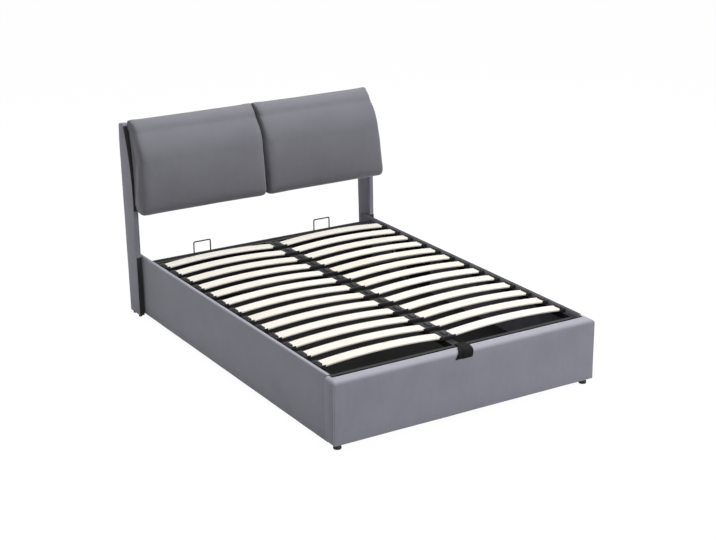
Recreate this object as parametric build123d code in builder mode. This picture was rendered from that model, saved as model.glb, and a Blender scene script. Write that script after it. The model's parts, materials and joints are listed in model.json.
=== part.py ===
from build123d import *
from math import asin, atan2, cos, degrees, hypot, sin, sqrt
import os

os.makedirs("parts", exist_ok=True)

# Millimetres. X runs across the bed, Y from the foot to the head, Z up from the floor.
# The origin lies on the floor, in the middle of the bed's outline.
# Places along the bed are given from the footboard's face.

# Overall sizes
bed_width = 1506
bed_length = 2188
rail_top = 340
cover_pad = 4
fabric = 1.5
seat_gap = 0.3
run_gap = 0.5
pin_play = 0.05
screw_play = 0.1
overrun = 5

# Pull strap
strap_width = 55
strap_thickness = 2.5
strap_gap = 1.2
strap_drop = 14
strap_shift = 24
strap_layers = 2
strap_front = strap_gap + strap_layers * strap_thickness

# Footboard
footboard_overhang = 12
footboard_thickness = 60
footboard_bottom = 30
footboard_top = 335
footboard_pad = 5
return_depth = 87
return_thickness = 24
footboard_roll = 18
footboard_corner = 8
inner_wrap = 42

# Side rails and head rail
rail_thickness = 19
rail_post_gap = 7.5
rail_bottom = 15
rail_roll = 6
rail_foot_roll = 3
board_roll_share = 0.3
rail_wrap = 40
rail_end_gap = 0.5
rail_overlap = 68
head_rail_set_back = 58
head_rail_thickness = 20
head_rail_bottom = 30
head_rail_top = 327

# Headboard posts
post_thickness = 27.5
post_depth = 121
post_lean = 35
post_base = 12
post_front_top = 1069
post_front_knee = 600
post_front_knee_shift = 12
post_front_top_shift = 101
post_back_top = 1056
post_back_top_shift = 30
post_back_knee = 850
post_back_knee_shift = 31
post_corner = 8
front_curve_place_share = 0.315
front_curve_height_share = 0.595
back_curve_height_share = 0.544
lining = 1
lining_edge = 0.5
lining_top_drop = 19

# Headboard panel, batten, lower rail and cushion boards
panel_set_back = 1
panel_thickness = 15
panel_bottom = 618
panel_top_drop = 24
batten_height = 60
batten_thickness = 22
lower_rail_inset = 47
lower_rail_thickness = 18
lower_rail_bottom = 70
lower_rail_top = 270
cushion_board = 9
cushion_board_margin = 45

# Cushions
cushion_bottom = 597
cushion_top = 1083
cushion_depth = 128
cushion_end_inset = 2
cushion_split = 3.5
cushion_round = 26
cushion_lean = 0.045
cushion_crown = 4
# How far in from the end each rounding section lies, as shares of the rounding
end_place_shares = (0.0, 0.08, 0.25, 0.55, 1.0)
# Where the middle sections lie along the cushion, and their shares of the crown
middle_place_shares = (0.25, 0.5, 0.75)
middle_crown_shares = (0.75, 1.0, 0.75)
# How much of the rounding the end face keeps
end_depth_share = 0.7
# How far the bottom, the top and the back are drawn in, as shares of the front's inset
bottom_inset_share = 0.5
top_inset_share = 0.2
back_inset_share = 0.3
# The section's points: share of the height, share of the depth from the back
section_shares = (
    (0.088, 1.0), (0.33, 1.012), (0.574, 0.995), (0.737, 0.94), (0.887, 0.71),
    (0.957, 0.63), (1.0, 0.35), (0.988, 0.13), (0.942, 0.0), (0.533, 0.0),
    (0.1235, 0.0), (0.036, 0.1375), (0.0, 0.469), (0.0, 0.645), (0.025, 0.867),
)

# Storage floor and its supports
floor_bottom = 60
floor_thickness = 9
floor_panels = 4
floor_gap = 1
floor_margin = 2
floor_foot_gap = 6
floor_head_gap = 4
ledge_size = 25
beam_width = 40
leg_radius = 20
leg_count = 3

# Glides
glide_radius = 20
glide_inset_x = 33
glide_inset_y = 36
post_glide_radius = 10
post_glide_inset = 25

# Slat frame
tube_width = 20
tube_height = 30
tube_wall = 1.5
frame_side_gap = 4
frame_foot_gap = 35
frame_head_gap = 9
frame_bottom = 294
centre_tube_width = 40
cross_tube_height = 20
cross_tube_count = 2
plug_flange = 2
plug_depth = 12
plug_play = 0.1

# Slats and their holders
slat_count = 13
slat_first_inset = 127
slat_last_inset = 123
slat_width = 68
slat_thickness = 8
slat_crown = 17
slat_end_rise = 14
slat_end_inset = 7
slat_edge = 2
cap_lip = 8
cap_depth = 26
cap_wall = 3
cap_roof = 6
cap_play = 0.2

# Lift linkage, one set on each side rail, its places counted from the lift arm's lower pivot
hinge_set_back = 404
plate_thickness = 4
plate_foot_reach = 200
plate_head_reach = 34
plate_bottom = 74
plate_top = 284
plate_corner = 15
plate_screw_inset = 18
arm_thickness = 5
arm_half_width = 13
guide_half_width = 14
stud_arm_half_width = 12
pivot_radius = 5
pivot_head_radius = 9
pivot_head = 2.5
outer_head = 2.2
guide_head_radius = 12
sleeve_radius = 8
arm_pivot_height = 252
platform_pivot_shift = 245
platform_pivot_height = 278
guide_base_shift = -172
guide_base_height = 237
guide_platform_shift = 167
guide_platform_height = 261
strut_base_shift = -64
strut_base_height = 84
strut_arm_shift = 116
strut_arm_height = 227
guide_pivot_play = 3.5
strut_pivot_play = 4
tab_margin = 22
tab_weld = 4

# Gas struts
stud_radius = 4
stud_shoulder_radius = 7
stud_head = 2
strut_inset = 15
cylinder_radius = 9
cylinder_bore = 7
cylinder_start = 11
cylinder_length = 140
cylinder_end = 6
neck_radius = 6
eye_width = 14
base_eye_radius = 9
rod_radius = 4
rod_eye_radius = 12.5
piston_radius = 6.5
piston_length = 8
piston_start = 62

# Brackets, screws and bolts
bracket_leg = 60
bracket_height = 70
bracket_bottom = 200
steel = 3
screw_radius = 3
screw_head_radius = 6
screw_head = 3
screw_depth = 8
screw_rise = 35
bolt_radius = 4
bolt_head_radius = 8
bolt_head = 2.5
bolt_depth = 12
bolt_inset = 34
bolt_low = 110
bolt_high = 250
spacer_radius = 12
rest_width = 50
rest_reach = 60
rest_half = 400
pad_thickness = 3

# Wire stops at the head end
wire_radius = 3.5
stop_width = 100
stop_centre = 378
stop_top = 388
stop_foot = 262
stop_stand = 8
stop_corner = 7
stop_sink = 8

# Derived sizes
y_foot = strap_front - (bed_length + strap_front) / 2
post_outer_half = bed_width / 2
post_inner_half = post_outer_half - post_thickness
post_front = bed_length - post_lean - post_depth
post_back = bed_length - post_lean
lining_top = post_front_top - lining_top_drop
panel_top = post_front_top - panel_top_drop
rail_outer_half = post_inner_half - rail_post_gap
rail_inner_half = rail_outer_half - rail_thickness
board_inner_half = rail_inner_half + fabric
rail_foot = return_depth + rail_end_gap
rail_head = post_front + rail_overlap
footboard_half = rail_outer_half + footboard_overhang
footboard_inner_half = footboard_half - return_thickness
footboard_board_back = footboard_thickness - fabric
head_rail_front = post_front - head_rail_set_back
head_rail_back = head_rail_front + head_rail_thickness
head_board_back = head_rail_back - fabric
lower_rail_place = post_back - lower_rail_inset
bolt_place = post_front + bolt_inset
cushion_outer_half = post_outer_half - cushion_end_inset
cushion_back_shift = panel_set_back - 2 * seat_gap - cushion_board
floor_foot = footboard_thickness + floor_foot_gap
floor_head = head_rail_front - floor_head_gap
frame_half_width = rail_inner_half - frame_side_gap
frame_inner_half = frame_half_width - tube_width
frame_foot = footboard_thickness + frame_foot_gap
frame_head = head_rail_front - frame_head_gap
frame_top = frame_bottom + tube_height
slat_first = frame_foot + slat_first_inset
slat_pitch = (frame_head - slat_last_inset - slat_first) / (slat_count - 1)
slat_end_top = frame_top + slat_end_rise
slat_outer = frame_half_width - slat_end_inset
slat_inner = centre_tube_width / 2
rest_top = frame_bottom - seat_gap - pad_thickness
plate_inner_half = board_inner_half - plate_thickness
arm_outer_half = plate_inner_half - run_gap
arm_inner_half = arm_outer_half - arm_thickness
tab_outer_half = arm_inner_half - run_gap
tab_inner_half = tab_outer_half - arm_thickness
guide_outer_half = tab_inner_half - run_gap
guide_inner_half = guide_outer_half - arm_thickness
strut_centre_half = guide_inner_half - strut_inset
eye_outer_half = strut_centre_half + eye_width / 2
eye_inner_half = strut_centre_half - eye_width / 2
hinge_place = head_rail_front - hinge_set_back
plate_foot = hinge_place - plate_foot_reach
plate_head = hinge_place + plate_head_reach
arm_pivot = (hinge_place, arm_pivot_height)
platform_pivot = (hinge_place + platform_pivot_shift, platform_pivot_height)
guide_base_pivot = (hinge_place + guide_base_shift, guide_base_height)
guide_platform_pivot = (hinge_place + guide_platform_shift, guide_platform_height)
strut_base = (hinge_place + strut_base_shift, strut_base_height)
strut_arm = (hinge_place + strut_arm_shift, strut_arm_height)
sides = ((-1, "left"), (1, "right"))


def save(piece, label):
    """Label a finished piece and write its file."""
    piece.part.label = label
    export_step(piece.part, f"parts/{label}.step")


def across(low, high, side):
    """The span from low to high on the right side, or its mirror image on the left."""
    return (low, high) if side > 0 else (-high, -low)


def along(low, high):
    """A span along the bed between two places."""
    return (y_foot + low, y_foot + high)


def side_view(point):
    """A point given along the bed and up, as it lies in the side view."""
    return (y_foot + point[0], point[1])


def block(x, y, z, mode=Mode.ADD):
    """Add or cut a rectangular block between three spans."""
    with BuildSketch(Plane.XY.offset(z[0])) as base:
        with Locations(((x[0] + x[1]) / 2, (y[0] + y[1]) / 2)):
            Rectangle(x[1] - x[0], y[1] - y[0])
    extrude(base.sketch, amount=z[1] - z[0], mode=mode)


def cross_bars(points, near, far, side, radius, mode=Mode.ADD):
    """Add or cut round lengths across the bed, between two distances from the middle."""
    start, end = across(near, far, side)
    with BuildSketch(Plane.YZ.offset(start)) as face:
        with Locations(*[side_view(point) for point in points]):
            Circle(radius)
    extrude(face.sketch, amount=end - start, mode=mode)


def long_bars(points, near, far, radius, mode=Mode.ADD):
    """Add or cut round lengths along the bed between two places, at distances across and heights."""
    with BuildSketch(Plane.XZ.offset(-(y_foot + far))) as face:
        with Locations(*points):
            Circle(radius)
    extrude(face.sketch, amount=far - near, mode=mode)


def upright_bar(x, place, low, high, radius):
    """Add a round upright between two heights."""
    with BuildSketch(Plane.XY.offset(low)) as face:
        with Locations((x, y_foot + place)):
            Circle(radius)
    extrude(face.sketch, amount=high - low)


# Where screws and bolts go

def bracket_heights():
    """Heights of the two screws in each leg of a corner bracket."""
    middle = bracket_bottom + bracket_height / 2
    return (middle - screw_rise / 2, middle + screw_rise / 2)


def bracket_legs():
    """Where the corner brackets stand, and how far their legs reach along the side rails."""
    foot = (footboard_board_back, return_depth + bracket_leg)
    head = (head_board_back, head_board_back + bracket_leg)
    return (foot, head)


def rail_screws():
    """Screws of the corner brackets into the side rails: place and height."""
    places = [end - bracket_leg / 2 for start, end in bracket_legs()]
    return [(place, height) for place in places for height in bracket_heights()]


def corner_screws():
    """Screws of the corner brackets into the boards across the bed: distance across and height."""
    x = board_inner_half - bracket_leg / 2
    return [(side * x, height) for side, name in sides for height in bracket_heights()]


def rest_screws():
    """Screws of the frame rests into the footboard: distance across and height."""
    height = rest_top - rest_reach / 2
    shifts = (-rest_width / 4, rest_width / 4)
    return [(side * rest_half + shift, height) for side, name in sides for shift in shifts]


def plate_screws():
    """Countersunk screws of a hinge plate into the side rail: place and height."""
    places = (plate_foot + plate_screw_inset, plate_head - plate_screw_inset)
    heights = (plate_bottom + plate_screw_inset, plate_top - plate_screw_inset)
    return [(place, height) for place in places for height in heights]


def bolt_points():
    """Bolts of the side rails into the posts: place and height."""
    return [(bolt_place, height) for height in (bolt_low, bolt_high)]


# Footboard: a board with two short returns, padded and covered

def footboard_body(inset, bare):
    """The footboard drawn in by an inset, with its inner faces drawn in by another."""
    half = footboard_half - inset
    inner = footboard_inner_half + bare
    front = y_foot + inset
    back = y_foot + footboard_thickness - bare
    tip = y_foot + return_depth - inset
    with BuildPart() as body:
        with BuildSketch(Plane.XY.offset(footboard_bottom)) as plan:
            with BuildLine():
                Polyline(
                    (-half, front), (half, front), (half, tip), (inner, tip), (inner, back),
                    (-inner, back), (-inner, tip), (-half, tip), (-half, front),
                )
            make_face()
            fillet(plan.vertices().group_by(Axis.Y)[0], radius=footboard_corner - inset)
        extrude(amount=footboard_top - inset - footboard_bottom)
        rim = body.faces().sort_by(Axis.Z)[-1].edges()
        near = front + footboard_corner
        rolled = rim.filter_by(lambda e: e.center().Y < near or abs(e.center().X) > half - overrun)
        fillet(rolled, radius=footboard_roll - inset)
    return body.part


def make_footboard():
    """The footboard's board and its padded cover, open underneath."""
    core = footboard_body(footboard_pad, fabric)
    outline = footboard_body(0, 0)
    with BuildPart() as board:
        add(core)
        long_bars(corner_screws() + rest_screws(), footboard_board_back - screw_depth, footboard_thickness,
                  screw_radius + screw_play, Mode.SUBTRACT)
    save(board, "footboard_board")
    with BuildPart() as cover:
        add(outline)
        add(core, mode=Mode.SUBTRACT)
        between = (-footboard_inner_half, footboard_inner_half)
        block(between, along(footboard_board_back, footboard_thickness + overrun),
              (footboard_bottom, footboard_top - inner_wrap), Mode.SUBTRACT)
    save(cover, "footboard_cover")


# Side rails and head rail: boards in a padded cover that laps onto the inner face

def rail_body(plane, length, low, high, thickness, inset, bare, roll_share):
    """A rail drawn on a plane whose X runs from its inner face outwards."""
    with BuildPart() as body:
        with BuildSketch(plane) as section:
            with Locations(((bare + thickness - inset) / 2, (low + high) / 2)):
                Rectangle(thickness - inset - bare, high - low - 2 * inset)
            outer = section.vertices().group_by(Axis.X)[-1].sort_by(Axis.Y)
            fillet(outer[-1], radius=rail_roll * roll_share)
            outer = section.vertices().group_by(Axis.X)[-1].sort_by(Axis.Y)
            fillet(outer[0], radius=rail_foot_roll * roll_share)
        extrude(amount=length)
    return body.part


def make_side_rails():
    """The two side rails, each a board and its cover."""
    length = rail_head - rail_foot
    for side, name in sides:
        start = rail_head if side > 0 else rail_foot
        plane = Plane((side * rail_inner_half, y_foot + start, 0), x_dir=(side, 0, 0), z_dir=(0, -side, 0))
        sizes = (plane, length, rail_bottom, rail_top, rail_thickness)
        core = rail_body(*sizes, cover_pad, fabric, board_roll_share)
        outline = rail_body(*sizes, 0, 0, 1)
        with BuildPart() as board:
            add(core)
            cross_bars(rail_screws() + plate_screws(), rail_inner_half, board_inner_half + screw_depth, side,
                       screw_radius + screw_play, Mode.SUBTRACT)
            cross_bars(bolt_points(), rail_inner_half, rail_outer_half, side,
                       bolt_radius + screw_play, Mode.SUBTRACT)
        save(board, f"side_rail_board_{name}")
        with BuildPart() as cover:
            add(outline)
            add(core, mode=Mode.SUBTRACT)
            block(across(rail_inner_half - overrun, board_inner_half, side),
                  along(rail_foot - overrun, rail_head + overrun),
                  (rail_bottom + rail_wrap, rail_top - rail_wrap), Mode.SUBTRACT)
            cross_bars(bolt_points(), rail_inner_half, rail_outer_half, side,
                       bolt_radius + screw_play, Mode.SUBTRACT)
        save(cover, f"side_rail_cover_{name}")


def make_head_rail():
    """The rail across the head end, a board and its cover."""
    plane = Plane((rail_inner_half, y_foot + head_rail_back, 0), x_dir=(0, -1, 0), z_dir=(-1, 0, 0))
    sizes = (plane, 2 * rail_inner_half, head_rail_bottom, head_rail_top, head_rail_thickness)
    core = rail_body(*sizes, cover_pad, fabric, board_roll_share)
    outline = rail_body(*sizes, 0, 0, 1)
    with BuildPart() as board:
        add(core)
        long_bars(corner_screws(), head_board_back - screw_depth, head_rail_back,
                  screw_radius + screw_play, Mode.SUBTRACT)
        shifts = (-stop_width / 2, stop_width / 2)
        ends = [(side * stop_centre + shift, stop_foot) for side, name in sides for shift in shifts]
        long_bars(ends, head_board_back - stop_sink, head_rail_back, wire_radius + pin_play, Mode.SUBTRACT)
    save(board, "head_rail_board")
    with BuildPart() as cover:
        add(outline)
        add(core, mode=Mode.SUBTRACT)
        block((-rail_outer_half, rail_outer_half), along(head_board_back, head_rail_back + overrun),
              (head_rail_bottom + rail_wrap, head_rail_top - rail_wrap), Mode.SUBTRACT)
    save(cover, "head_rail_cover")


# Headboard posts

def circle_through(first, second, third):
    """Centre and radius of the circle through three points."""
    (x1, y1), (x2, y2), (x3, y3) = first, second, third
    d = 2 * (x1 * (y2 - y3) + x2 * (y3 - y1) + x3 * (y1 - y2))
    s1, s2, s3 = x1**2 + y1**2, x2**2 + y2**2, x3**2 + y3**2
    cx = (s1 * (y2 - y3) + s2 * (y3 - y1) + s3 * (y1 - y2)) / d
    cy = (s1 * (x3 - x2) + s2 * (x1 - x3) + s3 * (x2 - x1)) / d
    return cx, cy, hypot(x1 - cx, y1 - cy)


def front_circle():
    """The circle of the curved upper part of the posts' front edge, in places and heights."""
    swing = post_front_top_shift - post_front_knee_shift
    rise = post_front_top - post_front_knee
    knee = post_front + post_front_knee_shift
    middle = (knee + front_curve_place_share * swing, post_front_knee + front_curve_height_share * rise)
    top = (post_front + post_front_top_shift, post_front_top)
    return circle_through((knee, post_front_knee), middle, top)


curve_place, curve_height, curve_radius = front_circle()


def front_edge(height, shift=0):
    """The point of the posts' front edge at a height, moved towards the head by a shift."""
    if height < post_front_knee:
        climb = (height - post_base) / (post_front_knee - post_base)
        return side_view((post_front + post_front_knee_shift * climb + shift, height))
    reach = sqrt(curve_radius**2 - (height - curve_height) ** 2)
    return side_view((curve_place - reach + shift, height))


def front_arc(low, high, shift):
    """Draw the posts' front edge between two heights, moved by a shift."""
    ThreePointArc(front_edge(low, shift), front_edge((low + high) / 2, shift), front_edge(high, shift))


def curved_sheet(x, low, high, front_shift, back_shift):
    """Add a sheet across the bed that follows the curve of the posts' front edge."""
    with BuildSketch(Plane.YZ.offset(x[0])) as side_face:
        with BuildLine():
            front_arc(low, high, front_shift)
            Line(front_edge(high, front_shift), front_edge(high, back_shift))
            front_arc(low, high, back_shift)
            Line(front_edge(low, back_shift), front_edge(low, front_shift))
        make_face()
    extrude(side_face.sketch, amount=x[1] - x[0])


def post_body(x, inset):
    """A post's shape between two distances across, its outline drawn in by an inset but for its foot."""
    low = post_base - inset
    curve_rise = post_back_top - post_back_knee
    knee = side_view((post_back + post_back_knee_shift, post_back_knee))
    crest = side_view((bed_length, post_back_knee + back_curve_height_share * curve_rise))
    back_top = side_view((post_back + post_back_top_shift, post_back_top))
    with BuildPart() as body:
        with BuildSketch(Plane.YZ.offset(x[0])) as outline:
            with BuildLine():
                Line(front_edge(low), front_edge(post_front_knee))
                front_arc(post_front_knee, post_front_top, 0)
                Line(front_edge(post_front_top), back_top)
                ThreePointArc(back_top, crest, knee)
                Line(knee, side_view((post_back, low)))
                Line(side_view((post_back, low)), front_edge(low))
            make_face()
            top = outline.vertices().sort_by(Axis.Y)[-2:]
            fillet(top, radius=post_corner)
            if inset:
                offset(amount=-inset, kind=Kind.INTERSECTION, mode=Mode.REPLACE)
        extrude(amount=x[1] - x[0])
    return body.part


def make_posts():
    """The two headboard posts, each a board and its cover, and the dark lining on their fronts."""
    for side, name in sides:
        core = post_body(across(post_inner_half + fabric, post_outer_half - cover_pad, side), cover_pad)
        outline = post_body(across(post_inner_half, post_outer_half, side), 0)
        with BuildPart() as board:
            add(core)
            cross_bars(bolt_points(), post_inner_half, post_inner_half + fabric + bolt_depth, side,
                       bolt_radius + screw_play, Mode.SUBTRACT)
        save(board, f"headboard_post_board_{name}")
        with BuildPart() as cover:
            add(outline)
            add(core, mode=Mode.SUBTRACT)
            cross_bars(bolt_points(), post_inner_half, post_inner_half + fabric, side,
                       bolt_radius + screw_play, Mode.SUBTRACT)
        save(cover, f"headboard_post_cover_{name}")
    with BuildPart() as strips:
        for side, name in sides:
            x = across(post_inner_half + lining_edge, post_outer_half - lining_edge, side)
            curved_sheet(x, post_front_knee, lining_top, -lining - seat_gap, -seat_gap)
            with BuildSketch(Plane.YZ.offset(x[0])) as lower:
                with BuildLine():
                    Polyline(
                        front_edge(rail_bottom, -lining - seat_gap), front_edge(rail_top, -lining - seat_gap),
                        front_edge(rail_top, -seat_gap), front_edge(rail_bottom, -seat_gap),
                        front_edge(rail_bottom, -lining - seat_gap),
                    )
                make_face()
            extrude(lower.sketch, amount=x[1] - x[0])
    save(strips, "post_lining_strips")


# Headboard panel, batten, lower rail and the boards that hold the cushions

def make_headboard():
    """The curved panel between the posts and the pieces on it."""
    between = (-post_inner_half, post_inner_half)
    panel_back = panel_set_back + panel_thickness
    with BuildPart() as panel:
        curved_sheet(between, panel_bottom, panel_top, panel_set_back, panel_back)
    save(panel, "headboard_panel")
    with BuildPart() as batten:
        batten_back = panel_back + batten_thickness
        curved_sheet(between, panel_top - batten_height, panel_top, panel_back, batten_back)
    save(batten, "headboard_top_batten")
    with BuildPart() as lower_rail:
        block(between, along(lower_rail_place, lower_rail_place + lower_rail_thickness),
              (lower_rail_bottom, lower_rail_top))
    save(lower_rail, "headboard_lower_rail")
    for side, name in sides:
        x = across(cushion_split + cushion_board_margin, post_inner_half - cushion_board_margin, side)
        with BuildPart() as board:
            curved_sheet(x, panel_bottom + cushion_board_margin, panel_top - cushion_board_margin,
                         panel_set_back - seat_gap - cushion_board, panel_set_back - seat_gap)
        save(board, f"cushion_board_{name}")


# Cushions

def cushion_point(shares, inset, crown):
    """A point of a cushion's section, drawn in by an inset and swelled by a crown."""
    low = cushion_bottom + bottom_inset_share * inset
    high = cushion_top - top_inset_share * inset
    height = low + shares[0] * (high - low)
    back = back_inset_share * inset
    depth = back + shares[1] * (cushion_depth + crown - inset - back)
    place, level = front_edge(height, cushion_back_shift - depth)
    return (place, level - cushion_bottom)


def make_cushions():
    """Two crowned cushions, rounded at their ends, the outer ends leaning inwards."""
    swell = cushion_round * end_depth_share
    insets = [swell * (1 - sqrt(1 - (1 - share) ** 2)) for share in end_place_shares]
    for side, name in sides:
        low, high = across(cushion_split, cushion_outer_half, side)
        lean_low, lean_high = (0, cushion_lean) if side > 0 else (-cushion_lean, 0)
        ends = list(zip(end_place_shares, insets))
        sections = [(low + cushion_round * share, inset, 0) for share, inset in ends]
        for place_share, crown_share in zip(middle_place_shares, middle_crown_shares):
            sections.append((low + place_share * (high - low), 0, crown_share * cushion_crown))
        sections += [(high - cushion_round * share, inset, 0) for share, inset in reversed(ends)]
        with BuildPart() as cushion:
            for place, inset, crown in sections:
                climb = (place - low) / (high - low)
                lean = lean_low + climb * (lean_high - lean_low)
                plane = Plane((place, 0, cushion_bottom), x_dir=(0, 1, 0), z_dir=(1, 0, lean))
                points = [cushion_point(shares, inset, crown) for shares in section_shares]
                with BuildSketch(plane):
                    with BuildLine():
                        for start in range(0, len(points) - 3, 2):
                            ThreePointArc(points[start], points[start + 1], points[start + 2])
                        Line(points[-3], points[-2])
                        ThreePointArc(points[-2], points[-1], points[0])
                    make_face()
            loft(ruled=True)
        save(cushion, f"cushion_{name}")


# Storage floor and its supports

def make_base():
    """The floor of the storage space, the ledges, the centre beam and its legs."""
    with BuildPart() as floor:
        pitch = (floor_head - floor_foot + floor_gap) / floor_panels
        half = rail_inner_half - floor_margin
        level = (floor_bottom, floor_bottom + floor_thickness)
        for panel in range(floor_panels):
            start = floor_foot + panel * pitch
            block((-half, half), along(start, start + pitch - floor_gap), level)
    save(floor, "storage_floor")
    level = (floor_bottom - ledge_size, floor_bottom)
    with BuildPart() as side_ledges:
        for side, name in sides:
            x = across(rail_inner_half - ledge_size, rail_inner_half, side)
            block(x, along(rail_foot, head_rail_front), level)
    save(side_ledges, "base_side_ledges")
    end_half = rail_inner_half - ledge_size
    beam_foot = footboard_board_back + ledge_size
    beam_head = head_rail_front - ledge_size
    with BuildPart() as end_ledges:
        block((-end_half, end_half), along(footboard_board_back, beam_foot), level)
        block((-end_half, end_half), along(beam_head, head_rail_front), level)
    save(end_ledges, "base_end_ledges")
    with BuildPart() as beam:
        x = (-beam_width / 2, beam_width / 2)
        block(x, along(beam_foot, beam_head), (footboard_bottom, floor_bottom))
    save(beam, "base_centre_beam")
    with BuildPart() as legs:
        for leg in range(leg_count):
            place = beam_foot + (leg + 1) * (beam_head - beam_foot) / (leg_count + 1)
            upright_bar(0, place, 0, footboard_bottom, leg_radius)
    save(legs, "centre_legs")


def make_glides():
    """The feet under the footboard and the glides under the posts."""
    with BuildPart() as glides:
        for side, name in sides:
            x = side * (footboard_half - glide_inset_x)
            upright_bar(x, glide_inset_y, 0, footboard_bottom, glide_radius)
    save(glides, "footboard_glides")
    with BuildPart() as post_glides:
        for side, name in sides:
            x = side * (post_outer_half - post_thickness / 2)
            for place in (post_front + post_glide_inset, post_back - post_glide_inset):
                upright_bar(x, place, 0, post_base, post_glide_radius)
    save(post_glides, "post_glides")


# Brackets, screws, bolts and rests

def make_brackets():
    """Corner brackets, the rests under the slat frame's foot and their pads."""
    level = (bracket_bottom, bracket_bottom + bracket_height)
    with BuildPart() as brackets:
        for side, name in sides:
            for start, end in bracket_legs():
                block(across(board_inner_half - steel, board_inner_half, side), along(start, end), level)
                reach = across(board_inner_half - bracket_leg, board_inner_half, side)
                block(reach, along(start, start + steel), level)
        for side, name in sides:
            cross_bars(rail_screws(), board_inner_half - steel, board_inner_half, side,
                       screw_radius + screw_play, Mode.SUBTRACT)
        for start, end in bracket_legs():
            long_bars(corner_screws(), start, start + steel, screw_radius + screw_play, Mode.SUBTRACT)
    save(brackets, "corner_brackets")
    back = footboard_board_back
    with BuildPart() as rests:
        for side, name in sides:
            x = across(rest_half - rest_width / 2, rest_half + rest_width / 2, side)
            block(x, along(back, back + steel), (rest_top - rest_reach, rest_top))
            block(x, along(back, back + rest_reach), (rest_top - steel, rest_top))
        long_bars(rest_screws(), back, back + steel, screw_radius + screw_play, Mode.SUBTRACT)
    save(rests, "frame_rest_brackets")
    with BuildPart() as pads:
        for side, name in sides:
            x = across(rest_half - rest_width / 2, rest_half + rest_width / 2, side)
            block(x, along(back + steel, back + rest_reach), (rest_top, rest_top + pad_thickness))
    save(pads, "frame_rest_pads")


def make_screws():
    """All wood screws: in the corner brackets, the rests and the hinge plates."""
    with BuildPart() as screws:
        for side, name in sides:
            seat = board_inner_half - steel
            cross_bars(rail_screws(), seat, board_inner_half + screw_depth, side, screw_radius)
            cross_bars(rail_screws(), seat - screw_head, seat, side, screw_head_radius)
            sunk = plate_inner_half + screw_head / 2
            cross_bars(plate_screws(), plate_inner_half, board_inner_half + screw_depth, side, screw_radius)
            cross_bars(plate_screws(), plate_inner_half, sunk, side, screw_head_radius)
        for start, end in bracket_legs():
            seat = start + steel
            long_bars(corner_screws(), start - screw_depth, seat, screw_radius)
            long_bars(corner_screws(), seat, seat + screw_head, screw_head_radius)
        seat = footboard_board_back + steel
        long_bars(rest_screws(), footboard_board_back - screw_depth, seat, screw_radius)
        long_bars(rest_screws(), seat, seat + screw_head, screw_head_radius)
    save(screws, "frame_screws")


def make_bolts():
    """The bolts that hold the side rails to the posts, and the spacers between them."""
    points = bolt_points()
    with BuildPart() as bolts:
        for side, name in sides:
            cross_bars(points, board_inner_half, post_inner_half + fabric + bolt_depth, side, bolt_radius)
            cross_bars(points, board_inner_half - bolt_head, board_inner_half, side, bolt_head_radius)
    save(bolts, "headboard_bolts")
    with BuildPart() as spacers:
        for side, name in sides:
            cross_bars(points, rail_outer_half, post_inner_half, side, spacer_radius)
            cross_bars(points, rail_outer_half, post_inner_half, side,
                       bolt_radius + screw_play, Mode.SUBTRACT)
    save(spacers, "bolt_spacers")


def make_wire_stops():
    """Two wire hoops behind the head rail that keep the mattress in place."""
    for side, name in sides:
        middle = side * stop_centre
        left, right = middle - stop_width / 2, middle + stop_width / 2
        inside = y_foot + head_board_back - stop_sink
        stand = y_foot + head_rail_back + stop_stand
        crest = stop_top - wire_radius
        route = ((left, inside, stop_foot), (left, stand, stop_foot), (left, stand, crest),
                 (right, stand, crest), (right, stand, stop_foot), (right, inside, stop_foot))
        with BuildPart() as stop:
            with BuildLine() as path:
                FilletPolyline(*route, radius=stop_corner)
            with BuildSketch(Plane(route[0], x_dir=(1, 0, 0), z_dir=(0, 1, 0))):
                Circle(wire_radius)
            sweep(path=path.wires()[0])
        save(stop, f"mattress_stop_{name}")


# Slat frame

def tube(x, y, z, hollow_axis):
    """Add a rectangular tube, hollow along one axis."""
    block(x, y, z)
    wall = (tube_wall, -tube_wall)
    inner_x = x if hollow_axis == Axis.X else (x[0] + wall[0], x[1] + wall[1])
    inner_y = y if hollow_axis == Axis.Y else (y[0] + wall[0], y[1] + wall[1])
    block(inner_x, inner_y, (z[0] + wall[0], z[1] + wall[1]), Mode.SUBTRACT)


def make_frame():
    """The welded steel frame that carries the slats."""
    level = (frame_bottom, frame_top)
    for side, name in sides:
        with BuildPart() as side_tube:
            x = across(frame_inner_half, frame_half_width, side)
            tube(x, along(frame_foot, frame_head), level, Axis.Y)
        save(side_tube, f"side_tube_{name}")
    inside = (-frame_inner_half, frame_inner_half)
    with BuildPart() as foot_tube:
        tube(inside, along(frame_foot, frame_foot + tube_width), level, Axis.X)
    save(foot_tube, "foot_tube")
    with BuildPart() as head_tube:
        tube(inside, along(frame_head - tube_width, frame_head), level, Axis.X)
    save(head_tube, "head_tube")
    centre = (-centre_tube_width / 2, centre_tube_width / 2)
    centre_foot = frame_foot + tube_width
    centre_head = frame_head - tube_width
    with BuildPart() as centre_tube:
        tube(centre, along(centre_foot, centre_head), level, Axis.Y)
    save(centre_tube, "centre_tube")
    with BuildPart() as cross_tubes:
        for row in range(cross_tube_count):
            place = centre_foot + (row + 1) * (centre_head - centre_foot) / (cross_tube_count + 1)
            for side, name in sides:
                tube(across(centre_tube_width / 2, frame_inner_half, side),
                     along(place - tube_width / 2, place + tube_width / 2),
                     (frame_bottom, frame_bottom + cross_tube_height), Axis.X)
    save(cross_tubes, "cross_tubes")


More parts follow.
